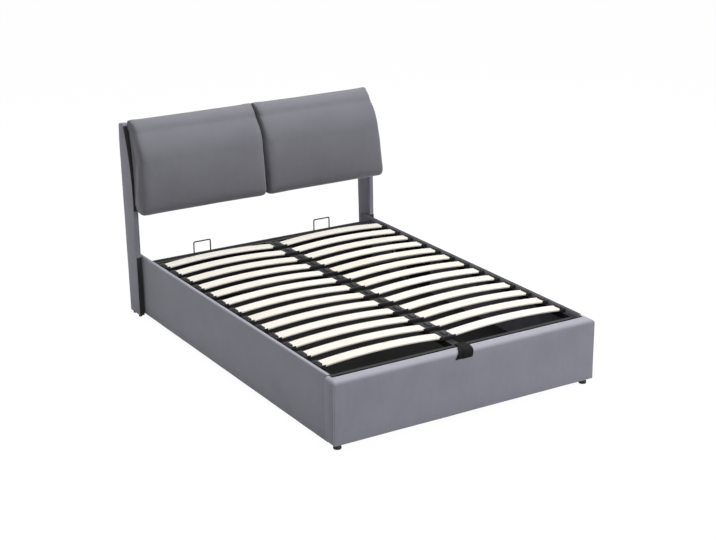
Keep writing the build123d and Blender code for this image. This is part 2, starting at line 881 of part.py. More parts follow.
def make_plugs():
    """The plastic plugs in the open ends of the side tubes."""
    wall = tube_wall + plug_play
    with BuildPart() as plugs:
        for side, name in sides:
            outer = across(frame_inner_half, frame_half_width, side)
            inner = (outer[0] + wall, outer[1] - wall)
            for end, out in ((frame_foot, -1), (frame_head, 1)):
                flange = sorted((end, end + out * plug_flange))
                stem = sorted((end, end - out * plug_depth))
                block(outer, along(*flange), (frame_bottom, frame_top))
                block(inner, along(*stem), (frame_bottom + wall, frame_top - wall))
    save(plugs, "side_tube_plugs")


# Slats and their holders

slat_middle = (slat_inner + slat_outer) / 2
slat_half_span = (slat_outer - slat_inner) / 2
slat_radius = (slat_half_span**2 + slat_crown**2) / (2 * slat_crown)
slat_centre_height = slat_end_top + slat_crown - slat_radius


def slat_rows():
    """Where each row of slats lies."""
    return [(0, y_foot + slat_first + slat_pitch * row, 0) for row in range(slat_count)]


def slat_level(x, depth):
    """Height of the slat at a distance from the bed's middle, at a depth below its top face."""
    return slat_centre_height + sqrt((slat_radius - depth) ** 2 - (x - slat_middle) ** 2)


def make_slats():
    """The bowed slats, one set on each side of the centre tube."""
    turn = asin(slat_half_span / slat_radius)
    for side, name in sides:
        centre = (side * slat_middle, 0, slat_centre_height)
        with BuildPart() as slat:
            with BuildSketch(Plane(centre, x_dir=(0, 1, 0), z_dir=(cos(turn), 0, sin(turn)))):
                with Locations((0, slat_radius - slat_thickness / 2)):
                    RectangleRounded(slat_width, slat_thickness, slat_edge)
            revolve(axis=Axis(centre, (0, 1, 0)), revolution_arc=degrees(2 * turn))
        with BuildPart() as slats:
            with Locations(*slat_rows()):
                add(slat.part)
        save(slats, f"slats_{name}")


def cap_slot(x_open, x_end, x_lip, side):
    """Draw the room for a slat's end in its holder, open above up to the lip."""
    high = slat_end_top + cap_roof + slat_crown
    low_open = slat_level(x_open, slat_thickness) - cap_play
    low_end = slat_level(x_end, slat_thickness) - cap_play
    top_end = slat_level(x_end, 0) + cap_play
    top_lip = slat_level(x_lip, 0) + cap_play
    Polyline((side * x_open, low_open), (side * x_end, low_end), (side * x_end, top_end),
             (side * x_lip, top_lip), (side * x_lip, high), (side * x_open, high), (side * x_open, low_open))


def make_caps():
    """The plastic holders: one at each outer end, and a double one on the centre tube."""
    roof = slat_end_top + cap_roof
    row = (-slat_width / 2 - cap_wall, slat_width / 2 + cap_wall)
    slot_half = slat_width / 2 + cap_play
    with BuildPart() as holder_row:
        block((-slat_inner - cap_depth, slat_inner + cap_depth), row, (frame_top, roof))
        for side, name in sides:
            block(across(slat_outer - cap_depth, frame_half_width, side), row, (frame_top, roof))
        for side, name in sides:
            with BuildSketch(Plane.XZ):
                for end, out in ((slat_outer, 1), (slat_inner, -1)):
                    x_open = end - out * (cap_depth + overrun)
                    with BuildLine():
                        cap_slot(x_open, end + out * cap_play, end - out * cap_lip, side)
                    make_face()
            extrude(amount=slot_half, both=True, mode=Mode.SUBTRACT)
    with BuildPart() as caps:
        with Locations(*slat_rows()):
            add(holder_row.part)
    save(caps, "slat_holders")


def strap_edge(rise):
    """Draw the strap's run over the frame's tube and the footboard, raised by its layers below."""
    level = footboard_top + strap_gap + rise
    front = y_foot - strap_gap - rise
    reach = footboard_roll + strap_gap + rise
    bend = reach * (1 - 1 / sqrt(2))
    low = footboard_top - footboard_roll - strap_drop
    points = [
        (y_foot + frame_foot + tube_width, frame_top + rise), (y_foot + frame_foot, frame_top + rise),
        (y_foot + footboard_thickness + strap_gap, level), (front + reach, level),
        (front + bend, level - bend), (front, level - reach), (front, low),
    ]
    Polyline(*points[:4])
    ThreePointArc(*points[3:6])
    Line(points[5], points[6])
    return points


def make_strap():
    """The doubled webbing strap that lifts the frame, lying over the footboard."""
    with BuildPart() as strap:
        for layer in range(strap_layers):
            shift = strap_shift * layer
            with BuildSketch(Plane.YZ.offset(-strap_width / 2 - shift)) as ribbon:
                with BuildLine():
                    under = strap_edge(layer * strap_thickness)
                    over = strap_edge((layer + 1) * strap_thickness)
                    Line(under[0], over[0])
                    Line(under[-1], over[-1])
                make_face()
            extrude(amount=strap_width)
    save(strap, "pull_strap")


# Lift linkage

def arm_outline(points, radii):
    """Draw a flat arm with round ends at its pivots."""
    for point, radius in zip(points, radii):
        with Locations(side_view(point)):
            Circle(radius)
    make_hull()


def make_hinge_plates():
    """The plates on the side rails and the pins fixed in them."""
    screws = plate_screws()
    for side, name in sides:
        low, high = across(plate_inner_half, board_inner_half, side)
        with BuildPart() as plate:
            with BuildSketch(Plane.YZ.offset(low)):
                with Locations(side_view(((plate_foot + plate_head) / 2, (plate_bottom + plate_top) / 2))):
                    RectangleRounded(plate_head - plate_foot, plate_top - plate_bottom, plate_corner)
                with Locations(side_view(arm_pivot), side_view(guide_base_pivot)):
                    Circle(pivot_radius + pin_play, mode=Mode.SUBTRACT)
                with Locations(side_view(strut_base)):
                    Circle(stud_radius + pin_play, mode=Mode.SUBTRACT)
            extrude(amount=high - low)
            sunk = plate_inner_half + screw_head / 2
            for far, radius in ((board_inner_half, screw_radius), (sunk, screw_head_radius)):
                cross_bars(screws, plate_inner_half, far, side, radius + screw_play, Mode.SUBTRACT)
        save(plate, f"hinge_plate_{name}")
    with BuildPart() as pins:
        for side, name in sides:
            arm_end = arm_inner_half - seat_gap
            cross_bars([arm_pivot], arm_end, board_inner_half, side, pivot_radius)
            cross_bars([arm_pivot], arm_end - pivot_head, arm_end, side, pivot_head_radius)
            guide_end = guide_inner_half - seat_gap
            cross_bars([guide_base_pivot], guide_end, board_inner_half, side, pivot_radius)
            cross_bars([guide_base_pivot], guide_outer_half + seat_gap, plate_inner_half, side, sleeve_radius)
            cross_bars([guide_base_pivot], guide_end - pivot_head, guide_end, side, pivot_head_radius)
            eye_end = eye_inner_half - seat_gap
            cross_bars([strut_base], eye_end, board_inner_half, side, stud_radius)
            cross_bars([strut_base], eye_outer_half + seat_gap, plate_inner_half, side, stud_shoulder_radius)
            cross_bars([strut_base], eye_end - stud_head, eye_end, side, stud_shoulder_radius)
    save(pins, "base_pivot_pins")


def make_arms():
    """The lift arms with their strut studs, and the guide arms."""
    for side, name in sides:
        low, high = across(arm_inner_half, arm_outer_half, side)
        with BuildPart() as lift_arm:
            with BuildSketch(Plane.YZ.offset(low)):
                arm_outline((arm_pivot, strut_arm, platform_pivot),
                            (arm_half_width, stud_arm_half_width, arm_half_width))
                with Locations(side_view(arm_pivot), side_view(platform_pivot)):
                    Circle(pivot_radius + pin_play, mode=Mode.SUBTRACT)
            extrude(amount=high - low)
            eye_end = eye_inner_half - seat_gap
            cross_bars([strut_arm], eye_outer_half + seat_gap, arm_inner_half, side, stud_shoulder_radius)
            cross_bars([strut_arm], eye_end, eye_outer_half + seat_gap, side, stud_radius)
            cross_bars([strut_arm], eye_end - stud_head, eye_end, side, rod_eye_radius)
        save(lift_arm, f"lift_arm_{name}")
        low, high = across(guide_inner_half, guide_outer_half, side)
        with BuildPart() as guide_arm:
            with BuildSketch(Plane.YZ.offset(low)):
                arm_outline((guide_base_pivot, guide_platform_pivot), (guide_half_width, guide_half_width))
                with Locations(side_view(guide_base_pivot)):
                    Circle(pivot_radius + pin_play, mode=Mode.SUBTRACT)
                with Locations(side_view(guide_platform_pivot)):
                    Circle(pivot_radius + guide_pivot_play, mode=Mode.SUBTRACT)
            extrude(amount=high - low)
        save(guide_arm, f"guide_arm_{name}")


def make_platform_brackets():
    """The tabs under the slat frame's side tubes, and the pins in them."""
    foot = guide_platform_pivot[0] - tab_margin
    head = platform_pivot[0] + tab_margin
    with BuildPart() as tabs:
        for side, name in sides:
            low, high = across(tab_inner_half, tab_outer_half, side)
            with BuildSketch(Plane.YZ.offset(low)):
                with Locations(side_view(((foot + head) / 2, frame_bottom - tab_weld / 2))):
                    Rectangle(head - foot, tab_weld)
                arm_outline((guide_platform_pivot, platform_pivot), (arm_half_width, arm_half_width))
                with Locations(side_view(guide_platform_pivot), side_view(platform_pivot)):
                    Circle(pivot_radius + pin_play, mode=Mode.SUBTRACT)
            extrude(amount=high - low)
    save(tabs, "platform_brackets")
    with BuildPart() as pins:
        for side, name in sides:
            arm_end = arm_outer_half + seat_gap
            cross_bars([platform_pivot], tab_inner_half, arm_end, side, pivot_radius)
            cross_bars([platform_pivot], arm_end, arm_end + outer_head, side, pivot_head_radius)
            guide_end = guide_inner_half - seat_gap
            cross_bars([guide_platform_pivot], guide_end, tab_outer_half, side, pivot_radius)
            cross_bars([guide_platform_pivot], guide_end - pivot_head, guide_end, side, guide_head_radius)
    save(pins, "platform_pivot_pins")


# Gas struts

strut_run = (strut_arm[0] - strut_base[0], strut_arm[1] - strut_base[1])
strut_length = hypot(*strut_run)
strut_angle = atan2(strut_run[1], strut_run[0])


def strut_bar(side, near, far, radius, mode=Mode.ADD):
    """Add or cut a round length along the strut, between two distances from its lower pivot."""
    place, height = side_view(strut_base)
    axis = Plane((side * strut_centre_half, place, height), x_dir=(1, 0, 0),
                 z_dir=(0, cos(strut_angle), sin(strut_angle)))
    with BuildSketch(axis.offset(near)) as face:
        Circle(radius)
    extrude(face.sketch, amount=far - near, mode=mode)


def make_struts():
    """The gas struts: cylinders on the hinge plates, rods on the lift arms."""
    for side, name in sides:
        bore_start = cylinder_start + cylinder_end
        bore_end = cylinder_length - cylinder_end
        with BuildPart() as cylinder:
            cross_bars([strut_base], eye_inner_half, eye_outer_half, side, base_eye_radius)
            strut_bar(side, 0, bore_start, neck_radius)
            strut_bar(side, cylinder_start, cylinder_length, cylinder_radius)
            strut_bar(side, bore_start, bore_end, cylinder_bore, Mode.SUBTRACT)
            strut_bar(side, bore_end, cylinder_length, rod_radius + pin_play, Mode.SUBTRACT)
            cross_bars([strut_base], eye_inner_half, eye_outer_half, side,
                       stud_radius + pin_play, Mode.SUBTRACT)
        save(cylinder, f"strut_cylinder_{name}")
        with BuildPart() as rod:
            strut_bar(side, piston_start, strut_length, rod_radius)
            strut_bar(side, piston_start, piston_start + piston_length, piston_radius)
            cross_bars([strut_arm], eye_inner_half, eye_outer_half, side, rod_eye_radius)
            cross_bars([strut_arm], eye_inner_half, eye_outer_half, side,
                       stud_radius + strut_pivot_play, Mode.SUBTRACT)
        save(rod, f"strut_rod_{name}")


make_footboard()
make_side_rails()
make_head_rail()
make_posts()
make_headboard()
make_cushions()
make_base()
make_glides()
make_brackets()
make_screws()
make_bolts()
make_wire_stops()
make_frame()
make_plugs()
make_slats()
make_caps()
make_strap()
make_hinge_plates()
make_arms()
make_platform_brackets()
make_struts()
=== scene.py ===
import json
import logging
import math
from contextlib import contextmanager
from dataclasses import dataclass
from enum import Enum
from typing import Any, Callable, Iterable, Iterator, Sequence

import bmesh
import bpy
from mathutils import Matrix, Vector, noise
from mathutils.bvhtree import BVHTree


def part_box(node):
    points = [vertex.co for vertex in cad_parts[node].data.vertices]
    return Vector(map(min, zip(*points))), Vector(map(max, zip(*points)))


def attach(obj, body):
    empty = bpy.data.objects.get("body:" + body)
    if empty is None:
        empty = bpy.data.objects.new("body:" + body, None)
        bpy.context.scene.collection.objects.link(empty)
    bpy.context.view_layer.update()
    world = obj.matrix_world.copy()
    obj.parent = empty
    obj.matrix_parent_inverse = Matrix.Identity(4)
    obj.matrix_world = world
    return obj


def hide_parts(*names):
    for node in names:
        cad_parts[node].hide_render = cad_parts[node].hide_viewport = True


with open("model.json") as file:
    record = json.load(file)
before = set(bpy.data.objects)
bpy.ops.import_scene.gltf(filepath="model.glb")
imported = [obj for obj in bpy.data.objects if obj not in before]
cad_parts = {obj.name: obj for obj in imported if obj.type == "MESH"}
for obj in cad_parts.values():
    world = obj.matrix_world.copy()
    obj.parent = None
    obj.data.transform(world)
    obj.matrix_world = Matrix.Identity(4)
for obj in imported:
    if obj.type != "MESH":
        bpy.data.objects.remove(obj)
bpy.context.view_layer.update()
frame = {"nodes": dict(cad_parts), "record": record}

# An upholstered storage bed: velvet covers over boards, a lifting frame of bowed slats,
# and a headboard of two cushions. Metres, X across, Y from the foot to the head, Z up.

log = logging.getLogger("storage_bed")

Point = tuple[float, float]
Colour = tuple[float, float, float]
MM = 0.001
SAME = 1e-6
NEAR = 1e-5
APART = 1e-4
SLAT_ROWS = 13
SLAT_WIDTH = 68 * MM


class Body(str, Enum):
    """The moving bodies that pieces ride on."""

    ROOT = "root"
    PLATFORM = "platform"


class Axis(int, Enum):
    """The axis that a face looks along or a cut is made across."""

    X = 0
    Y = 1
    Z = 2


# ---------------------------------------------------------------- shader nodes


def math_step(operation: str, swapped: bool = False) -> Callable[..., "Shade"]:
    """Write a method that adds one Math node.

    Args:
        operation: The node's operation.
        swapped: Whether the other value comes first.

    Returns:
        The method.
    """

    def method(self: "Shade", other: Any = None) -> "Shade":
        """Add the node, and give its result."""
        pair = [self] if other is None else [other, self] if swapped else [self, other]
        return self.maker.add("ShaderNodeMath", {"operation": operation}, dict(enumerate(pair)))

    return method


class Shade:
    """A socket whose arithmetic adds Math nodes."""

    __add__ = math_step("ADD")
    __radd__ = math_step("ADD", True)
    __sub__ = math_step("SUBTRACT")
    __rsub__ = math_step("SUBTRACT", True)
    __mul__ = math_step("MULTIPLY")
    __rmul__ = math_step("MULTIPLY", True)
    __truediv__ = math_step("DIVIDE")
    __pow__ = math_step("POWER")
    above = math_step("GREATER_THAN")
    largest = math_step("MAXIMUM")
    wave = math_step("SINE")
    whole = math_step("FLOOR")
    size = math_step("ABSOLUTE")

    def __init__(self, maker: "NodeMaker", socket: bpy.types.NodeSocket | None) -> None:
        """Keep the socket and the tree's maker."""
        self.maker = maker
        self.socket = socket

    def clamped(self) -> "Shade":
        """The value held between zero and one."""
        return self.maker.add("ShaderNodeClamp", {}, {"Value": self})


def tinted(colour: Colour, factor: float, extra: float = 0.0) -> Colour:
    """A colour times a factor and a little more, none of it above one."""
    return tuple(min(c * factor + extra, 1.0) for c in colour)


class NodeMaker:
    """Adds nodes to a tree, for a finish, the floor or the room."""

    def __init__(self, owner: bpy.types.Material | bpy.types.World) -> None:
        """Empty the owner's node tree."""
        owner.use_nodes = True
        self.tree = owner.node_tree
        self.tree.nodes.clear()

    def put(self, socket: bpy.types.NodeSocket, value: Any) -> None:
        """Link or set a socket.

        Args:
            socket: The input to feed.
            value: A Shade to link, or a constant to set.
        """
        if isinstance(value, Shade):
            self.tree.links.new(value.socket, socket)
        else:
            socket.default_value = value

    def add(self, kind: str, settings: dict[str, Any], values: dict[Any, Any], output: Any = 0) -> Shade:
        """Add a node: its settings first, then its sockets.

        Args:
            kind: The node's type.
            settings: Properties to set, with "stops" for a ramp's stops.
            values: Values or links, by the socket's name or index.
            output: Which output to return, or None on a node without one.

        Returns:
            The chosen output.
        """
        node = self.tree.nodes.new(kind)
        for key, value in settings.items():
            if key == "stops":
                self._ramp(node, value)
            else:
                setattr(node, key, value)
        for key, value in values.items():
            self.put(node.inputs[key], value)
        return Shade(self, node.outputs[output] if output is not None else None)

    @staticmethod
    def _ramp(node: bpy.types.Node, stops: Sequence[tuple[float, tuple[float, ...]]]) -> None:
        """Set a ramp's stops.

        Args:
            node: The ColorRamp node.
            stops: Each stop's place and colour.
        """
        while len(node.color_ramp.elements) < len(stops):
            node.color_ramp.elements.new(0.5)
        for element, (place, colour) in zip(node.color_ramp.elements, stops):
            element.position = place
            element.color = (*colour, 1.0)

    def seen_plainly(self) -> Shade:
        """One for rays that meet a plain white backdrop: from the camera, off gloss or through glass."""
        camera, gloss, glass = (self.add("ShaderNodeLightPath", {}, {}, f"Is {kind} Ray")
                                for kind in ("Camera", "Glossy", "Transmission"))
        return camera.largest(gloss).largest(glass)


class ShaderMaker(NodeMaker):
    """Builds one node material."""

    def __init__(self, name: str) -> None:
        """Start a material with an output and a Principled shader."""
        self.material = bpy.data.materials.new(name)
        super().__init__(self.material)
        self.shader = self.tree.nodes.new("ShaderNodeBsdfPrincipled")
        self.add("ShaderNodeOutputMaterial", {}, {"Surface": Shade(self, self.shader.outputs[0])}, None)

    def place(self) -> Shade:
        """The point in the object's own space."""
        return self.add("ShaderNodeTexCoord", {}, {}, "Object")

    def parts(self, vector: Shade) -> tuple[Shade, Shade, Shade]:
        """A vector's three numbers.

        Args:
            vector: The vector to split.

        Returns:
            Its X, Y and Z.
        """
        return tuple(self.add("ShaderNodeSeparateXYZ", {}, {0: vector}, way) for way in range(3))

    def stretched(self, vector: Shade, scale: tuple[float, float, float]) -> Shade:
        """A vector scaled along its axes.

        Args:
            vector: The vector to scale.
            scale: The scale on each axis.

        Returns:
            The scaled vector.
        """
        return self.add("ShaderNodeVectorMath", {"operation": "MULTIPLY"}, {0: vector, 1: scale})

    def cloud(self, vector: Shade, scale: float, detail: float = 2.0, rough: float = 0.5) -> Shade:
        """Soft noise about one half.

        Args:
            vector: Where to read the noise.
            scale: Its scale, in waves per metre.
            detail: How many finer layers it has.
            rough: How strong the finer layers are.

        Returns:
            The noise value.
        """
        values = {"Vector": vector, "Scale": scale, "Detail": detail, "Roughness": rough}
        return self.add("ShaderNodeTexNoise", {}, values, 0)

    def chance(self, number: Shade) -> Shade:
        """A random value for each whole number."""
        return self.add("ShaderNodeTexWhiteNoise", {"noise_dimensions": "1D"}, {"W": number}, 0)

    def blend(self, share: Any, first: Any, second: Any) -> Shade:
        """Mix two colours.

        Args:
            share: How much of the second colour shows.
            first: The first colour, as three numbers or a link.
            second: The second colour.

        Returns:
            The mixed colour.
        """
        pair = [(*c, 1.0) if isinstance(c, tuple) else c for c in (first, second)]
        return self.add("ShaderNodeMix", {"data_type": "RGBA"}, {0: share, 6: pair[0], 7: pair[1]}, 2)

    def bump(self, height: Shade, distance: float, strength: float, before: Shade | None = None) -> Shade:
        """A normal from a height.

        Args:
            height: The height, about zero to one.
            distance: What a height of one stands for, in metres.
            strength: How much of it shows.
            before: A normal to add it to.

        Returns:
            The normal.
        """
        values = {"Height": height, "Distance": distance, "Strength": strength}
        if before is not None:
            values["Normal"] = before
        return self.add("ShaderNodeBump", {}, values)

    def finish(self, **sockets: Any) -> bpy.types.Material:
        """Set the shader's sockets.

        Args:
            **sockets: Values by the socket's name, its spaces written as underscores.

        Returns:
            The finished material.
        """
        for name, value in sockets.items():
            if isinstance(value, tuple) and len(value) == 3:
                value = (*value, 1.0)
            self.put(self.shader.inputs[name.replace("_", " ")], value)
        return self.material


# ---------------------------------------------------------------- finishes


@dataclass(frozen=True)
class Velvet:
    """Short-pile velvet: brushed patches, a fine pile, and light or shade painted on faces that look up, in a
    tone of their own.
    """

    name: str
    colour: Colour
    brushed: Colour
    # The tone painted on faces that look up: painted light or painted shade on the tops.
    painted_top_shading: Colour
    sheen: float
    sheen_tint: Colour = (0.86, 0.86, 0.92)
    sheen_rough: float = 0.42
    gloss: float = 0.25
    rough: float = 0.78
    patch_waves: float = 5.5
    worn_waves: float = 14.0
    stroke_waves: float = 46.0
    pile_waves: float = 850.0
    weave_turns: float = 2600.0
    top_shading_power: float = 1.4
    dent_depth: float = 2.2 * MM
    pile_depth: float = 0.45 * MM

    def make(self) -> bpy.types.Material:
        """Build the material.

        Returns:
            The velvet.
        """
        m = ShaderMaker(self.name)
        at = m.place()
        patches = m.cloud(at, self.patch_waves, 3.0, 0.45)
        worn = m.cloud(at, self.worn_waves, 4.0, 0.6)
        strokes = m.cloud(m.stretched(at, (1.0, 1.0, 0.35)), self.stroke_waves, 2.0, 0.5)
        pile = m.cloud(at, self.pile_waves, 2.0, 0.6)
        x, y, z = m.parts(m.stretched(at, (self.weave_turns,) * 3))
        weave = (x + y).wave() * (z + y * 0.5).wave()
        tone = ((patches - 0.5) * 0.9 + (strokes - 0.5) * 0.35 + (pile - 0.5) * 0.45 + 0.5).clamped()
        # Painted top light: faces that look up blend towards a tone of their own, a painted highlight on most
        # covers and painted shade on the turned copy.
        upward = m.parts(m.add("ShaderNodeTexCoord", {}, {}, "Normal"))[2].clamped()
        top_shading_share = upward ** self.top_shading_power * (0.75 + patches * 0.4)
        colour = m.blend(top_shading_share, m.blend(tone, self.colour, self.brushed), self.painted_top_shading)
        dents = m.bump(patches + worn * 0.4, self.dent_depth, 0.35)
        normal = m.bump(pile * 0.7 + weave * 0.12 + strokes * 0.6, self.pile_depth, 0.55, dents)
        rough = self.rough + (worn - 0.5) * 0.22
        return m.finish(
            Base_Color=colour, Roughness=rough.clamped(), Normal=normal, Specular_IOR_Level=self.gloss,
            Sheen_Weight=self.sheen, Sheen_Roughness=self.sheen_rough, Sheen_Tint=self.sheen_tint,
        )


@dataclass(frozen=True)
class LiningCloth:
    """Thin bonded lining cloth with a dimpled grid."""

    name: str
    colour: Colour
    gloss: float = 0.3
    dust_waves: float = 9.0
    fibre_waves: float = 320.0
    dimple_turns: float = 1150.0
    depth: float = 0.3 * MM

    def make(self) -> bpy.types.Material:
        """Build the material.

        Returns:
            The lining cloth.
        """
        m = ShaderMaker(self.name)
        at = m.place()
        x, y, z = m.parts(m.stretched(at, (self.dimple_turns,) * 3))
        dimples = ((x + z).wave() * (y + z * 0.3).wave()).size()
        fibres = m.cloud(m.stretched(at, (1.0, 0.3, 1.0)), self.fibre_waves, 4.0, 0.65)
        dust = m.cloud(at, self.dust_waves, 4.0, 0.6)
        share = (fibres * 0.7 + (dust - 0.5) * 0.8).clamped()
        return m.finish(
            Base_Color=m.blend(share, self.colour, tinted(self.colour, 1.6, 0.005)),
            Roughness=0.8 + fibres * 0.15, Specular_IOR_Level=self.gloss,
            Normal=m.bump(dimples * 0.6 + fibres, self.depth, 0.6),
        )


@dataclass(frozen=True)
class PaintedSteel:
    """Powder-coated steel: orange peel, dust and rubbed spots."""

    name: str
    colour: Colour
    rough: float
    peel: float = 0.12 * MM
    gloss: float = 0.2
    dust_waves: float = 12.0
    spot_waves: float = 55.0
    peel_waves: float = 620.0

    def make(self) -> bpy.types.Material:
        """Build the material.

        Returns:
            The painted steel.
        """
        m = ShaderMaker(self.name)
        at = m.place()
        peel = m.cloud(at, self.peel_waves, 2.0, 0.5)
        dust = m.cloud(at, self.dust_waves, 5.0, 0.62)
        rubbed = ((m.cloud(at, self.spot_waves, 4.0, 0.7) - 0.62) * 6.0).clamped()
        share = ((dust - 0.45) * 1.4 + rubbed * 0.25).clamped()
        rough = self.rough + (dust - 0.5) * 0.3 - rubbed * 0.12
        return m.finish(
            Base_Color=m.blend(share, self.colour, tinted(self.colour, 1.7, 0.006)),
            Roughness=rough.clamped(), Normal=m.bump(peel, self.peel, 0.6), Specular_IOR_Level=self.gloss,
        )


@dataclass(frozen=True)
class BrightSteel:
    """Zinc-plated steel with crystal patches and fine brushing."""

    name: str
    colour: Colour = (0.62, 0.63, 0.65)
    dull: float = 0.62
    stain_waves: float = 40.0
    crystal_scale: float = 190.0
    brush_waves: float = 1400.0
    depth: float = 0.05 * MM

    def make(self) -> bpy.types.Material:
        """Build the material.

        Returns:
            The plated steel.
        """
        m = ShaderMaker(self.name)
        at = m.place()
        crystals = m.add("ShaderNodeTexVoronoi", {}, {"Vector": at, "Scale": self.crystal_scale}, "Color")
        grains = m.parts(crystals)[0]
        brushed = m.cloud(m.stretched(at, (1.0, 0.06, 1.0)), self.brush_waves, 2.0, 0.5)
        stain = m.cloud(at, self.stain_waves, 5.0, 0.65)
        share = (grains * 0.35 + (stain - 0.35) * 0.9).clamped()
        rough = 0.24 + grains * 0.12 + (stain - 0.5) * 0.25
        return m.finish(
            Base_Color=m.blend(share, self.colour, tinted(self.colour, self.dull)), Roughness=rough.clamped(),
            Metallic=1.0, Normal=m.bump(brushed, self.depth, 0.5),
        )


@dataclass(frozen=True)
class MouldedPlastic:
    """Moulded plastic with a fine spark texture and scuffs."""

    name: str
    colour: Colour
    rough: float = 0.48
    grain: float = 0.08 * MM
    gloss: float = 0.3
    flow_waves: float = 28.0
    scuff_waves: float = 210.0
    grain_waves: float = 1500.0

    def make(self) -> bpy.types.Material:
        """Build the material.

        Returns:
            The plastic.
        """
        m = ShaderMaker(self.name)
        at = m.place()
        grain = m.cloud(at, self.grain_waves, 2.0, 0.6)
        flow = m.cloud(m.stretched(at, (1.0, 2.5, 0.6)), self.flow_waves, 3.0, 0.5)
        scratches = m.cloud(m.stretched(at, (0.3, 1.0, 2.0)), self.scuff_waves, 3.0, 0.7)
        scuffs = ((scratches - 0.6) * 5.0).clamped()
        share = ((flow - 0.5) * 0.7 + scuffs * 0.4).clamped()
        rough = self.rough + (flow - 0.5) * 0.18 + scuffs * 0.2
        return m.finish(
            Base_Color=m.blend(share, self.colour, tinted(self.colour, 1.8, 0.01)), Roughness=rough.clamped(),
            Normal=m.bump(grain, self.grain, 0.5), Specular_IOR_Level=self.gloss,
        )


@dataclass(frozen=True)
class SlatVeneer:
    """Pale bowed slats: straight grain along the slat, a shade of its own on each."""

    name: str
    pitch: float
    first: float
    colour: Colour = (0.80, 0.775, 0.72)
    warm: Colour = (0.60, 0.47, 0.32)
    knot: Colour = (0.30, 0.18, 0.09)
    gloss: float = 0.4
    layer_turns: float = 2600.0
    depth: float = 0.25 * MM

    def make(self) -> bpy.types.Material:
        """Build the material.

        Returns:
            The veneered slat.
        """
        m = ShaderMaker(self.name)
        x, y, z = m.parts(m.place())
        row = ((y - self.first) / self.pitch + 0.5).whole()
        own = m.chance(row * 3.7 + x.above(0.0) * 11.3)
        shifted = m.add("ShaderNodeCombineXYZ", {}, {0: x + own * 9.0, 1: y + own * 3.0, 2: z})
        grain = m.cloud(m.stretched(shifted, (2.2, 95.0, 95.0)), 1.6, 6.0, 0.62)
        rays = m.cloud(m.stretched(shifted, (14.0, 520.0, 520.0)), 1.5, 3.0, 0.6)
        stain = ((m.cloud(m.stretched(shifted, (3.2, 9.0, 9.0)), 1.0, 3.0, 0.5) - 0.56) * 4.0).clamped()
        cells = {"Vector": m.stretched(shifted, (3.0, 16.0, 16.0)), "Scale": 0.9}
        knots = ((0.075 - m.add("ShaderNodeTexVoronoi", {}, cells, "Distance")) * 16.0).clamped()
        layers = ((z + own * 0.02) * self.layer_turns).wave() * 0.5 + 0.5
        pale = m.blend((grain - 0.35).clamped() * 0.75, self.colour, tinted(self.colour, 0.86))
        toned = m.blend(stain * 0.30 + own * 0.12, pale, self.warm)
        lines = (rays - 0.5).clamped() * 0.8 + layers * 0.03
        lined = m.blend(lines, toned, tinted(self.warm, 0.7))
        return m.finish(
            Base_Color=m.blend(knots * 0.55, lined, self.knot), Roughness=0.52 + grain * 0.2,
            Normal=m.bump(grain * 0.7 + rays * 0.5, self.depth, 0.45), Specular_IOR_Level=self.gloss,
        )


@dataclass(frozen=True)
class Fibreboard:
    """Pressed wood board: chips and fibres."""

    name: str
    colour: Colour
    dark: float = 0.55
    gloss: float = 0.3
    patch_waves: float = 6.0
    chip_scale: float = 210.0
    fibre_waves: float = 480.0
    depth: float = 0.3 * MM

    def make(self) -> bpy.types.Material:
        """Build the material.

        Returns:
            The board.
        """
        m = ShaderMaker(self.name)
        at = m.place()
        cells = {"Vector": m.stretched(at, (1.0, 0.45, 1.0)), "Scale": self.chip_scale}
        tint = m.parts(m.add("ShaderNodeTexVoronoi", {}, cells, "Color"))[0]
        fibre = m.cloud(at, self.fibre_waves, 5.0, 0.65)
        patch = m.cloud(at, self.patch_waves, 3.0, 0.5)
        share = (tint * 0.45 + (fibre - 0.4) * 0.5 + (patch - 0.5) * 0.4).clamped()
        return m.finish(
            Base_Color=m.blend(share, self.colour, tinted(self.colour, self.dark)),
            Roughness=0.72 + fibre * 0.18, Specular_IOR_Level=self.gloss,
            Normal=m.bump(tint * 0.5 + fibre, self.depth, 0.5),
        )


@dataclass(frozen=True)
class Webbing:
    """Woven black webbing, its ribs across the strap."""

    name: str
    colour: Colour = (0.004, 0.004, 0.0045)
    gloss: float = 0.12
    rib_turns: float = 2400.0
    cord_turns: float = 3600.0
    row_turns: float = 1200.0
    fuzz_waves: float = 900.0
    depth: float = 0.5 * MM

    def make(self) -> bpy.types.Material:
        """Build the material.

        Returns:
            The webbing.
        """
        m = ShaderMaker(self.name)
        u, v, _ = m.parts(m.add("ShaderNodeUVMap", {"uv_map": "run"}, {}))
        ribs = (v * self.rib_turns).wave() * 0.5 + 0.5
        cords = (u * self.cord_turns + (v * self.row_turns).whole() * math.pi).wave() * 0.5 + 0.5
        fuzz = m.cloud(m.place(), self.fuzz_waves, 3.0, 0.6)
        height = ribs * 0.55 + cords * 0.45 + fuzz * 0.25
        share = (height * 0.55 + (fuzz - 0.5) * 0.4).clamped()
        return m.finish(
            Base_Color=m.blend(share, self.colour, tinted(self.colour, 2.4, 0.004)),
            Roughness=0.74 + fuzz * 0.2, Specular_IOR_Level=self.gloss,
            Normal=m.bump(height, self.depth, 0.8),
        )


# ---------------------------------------------------------------- mesh work


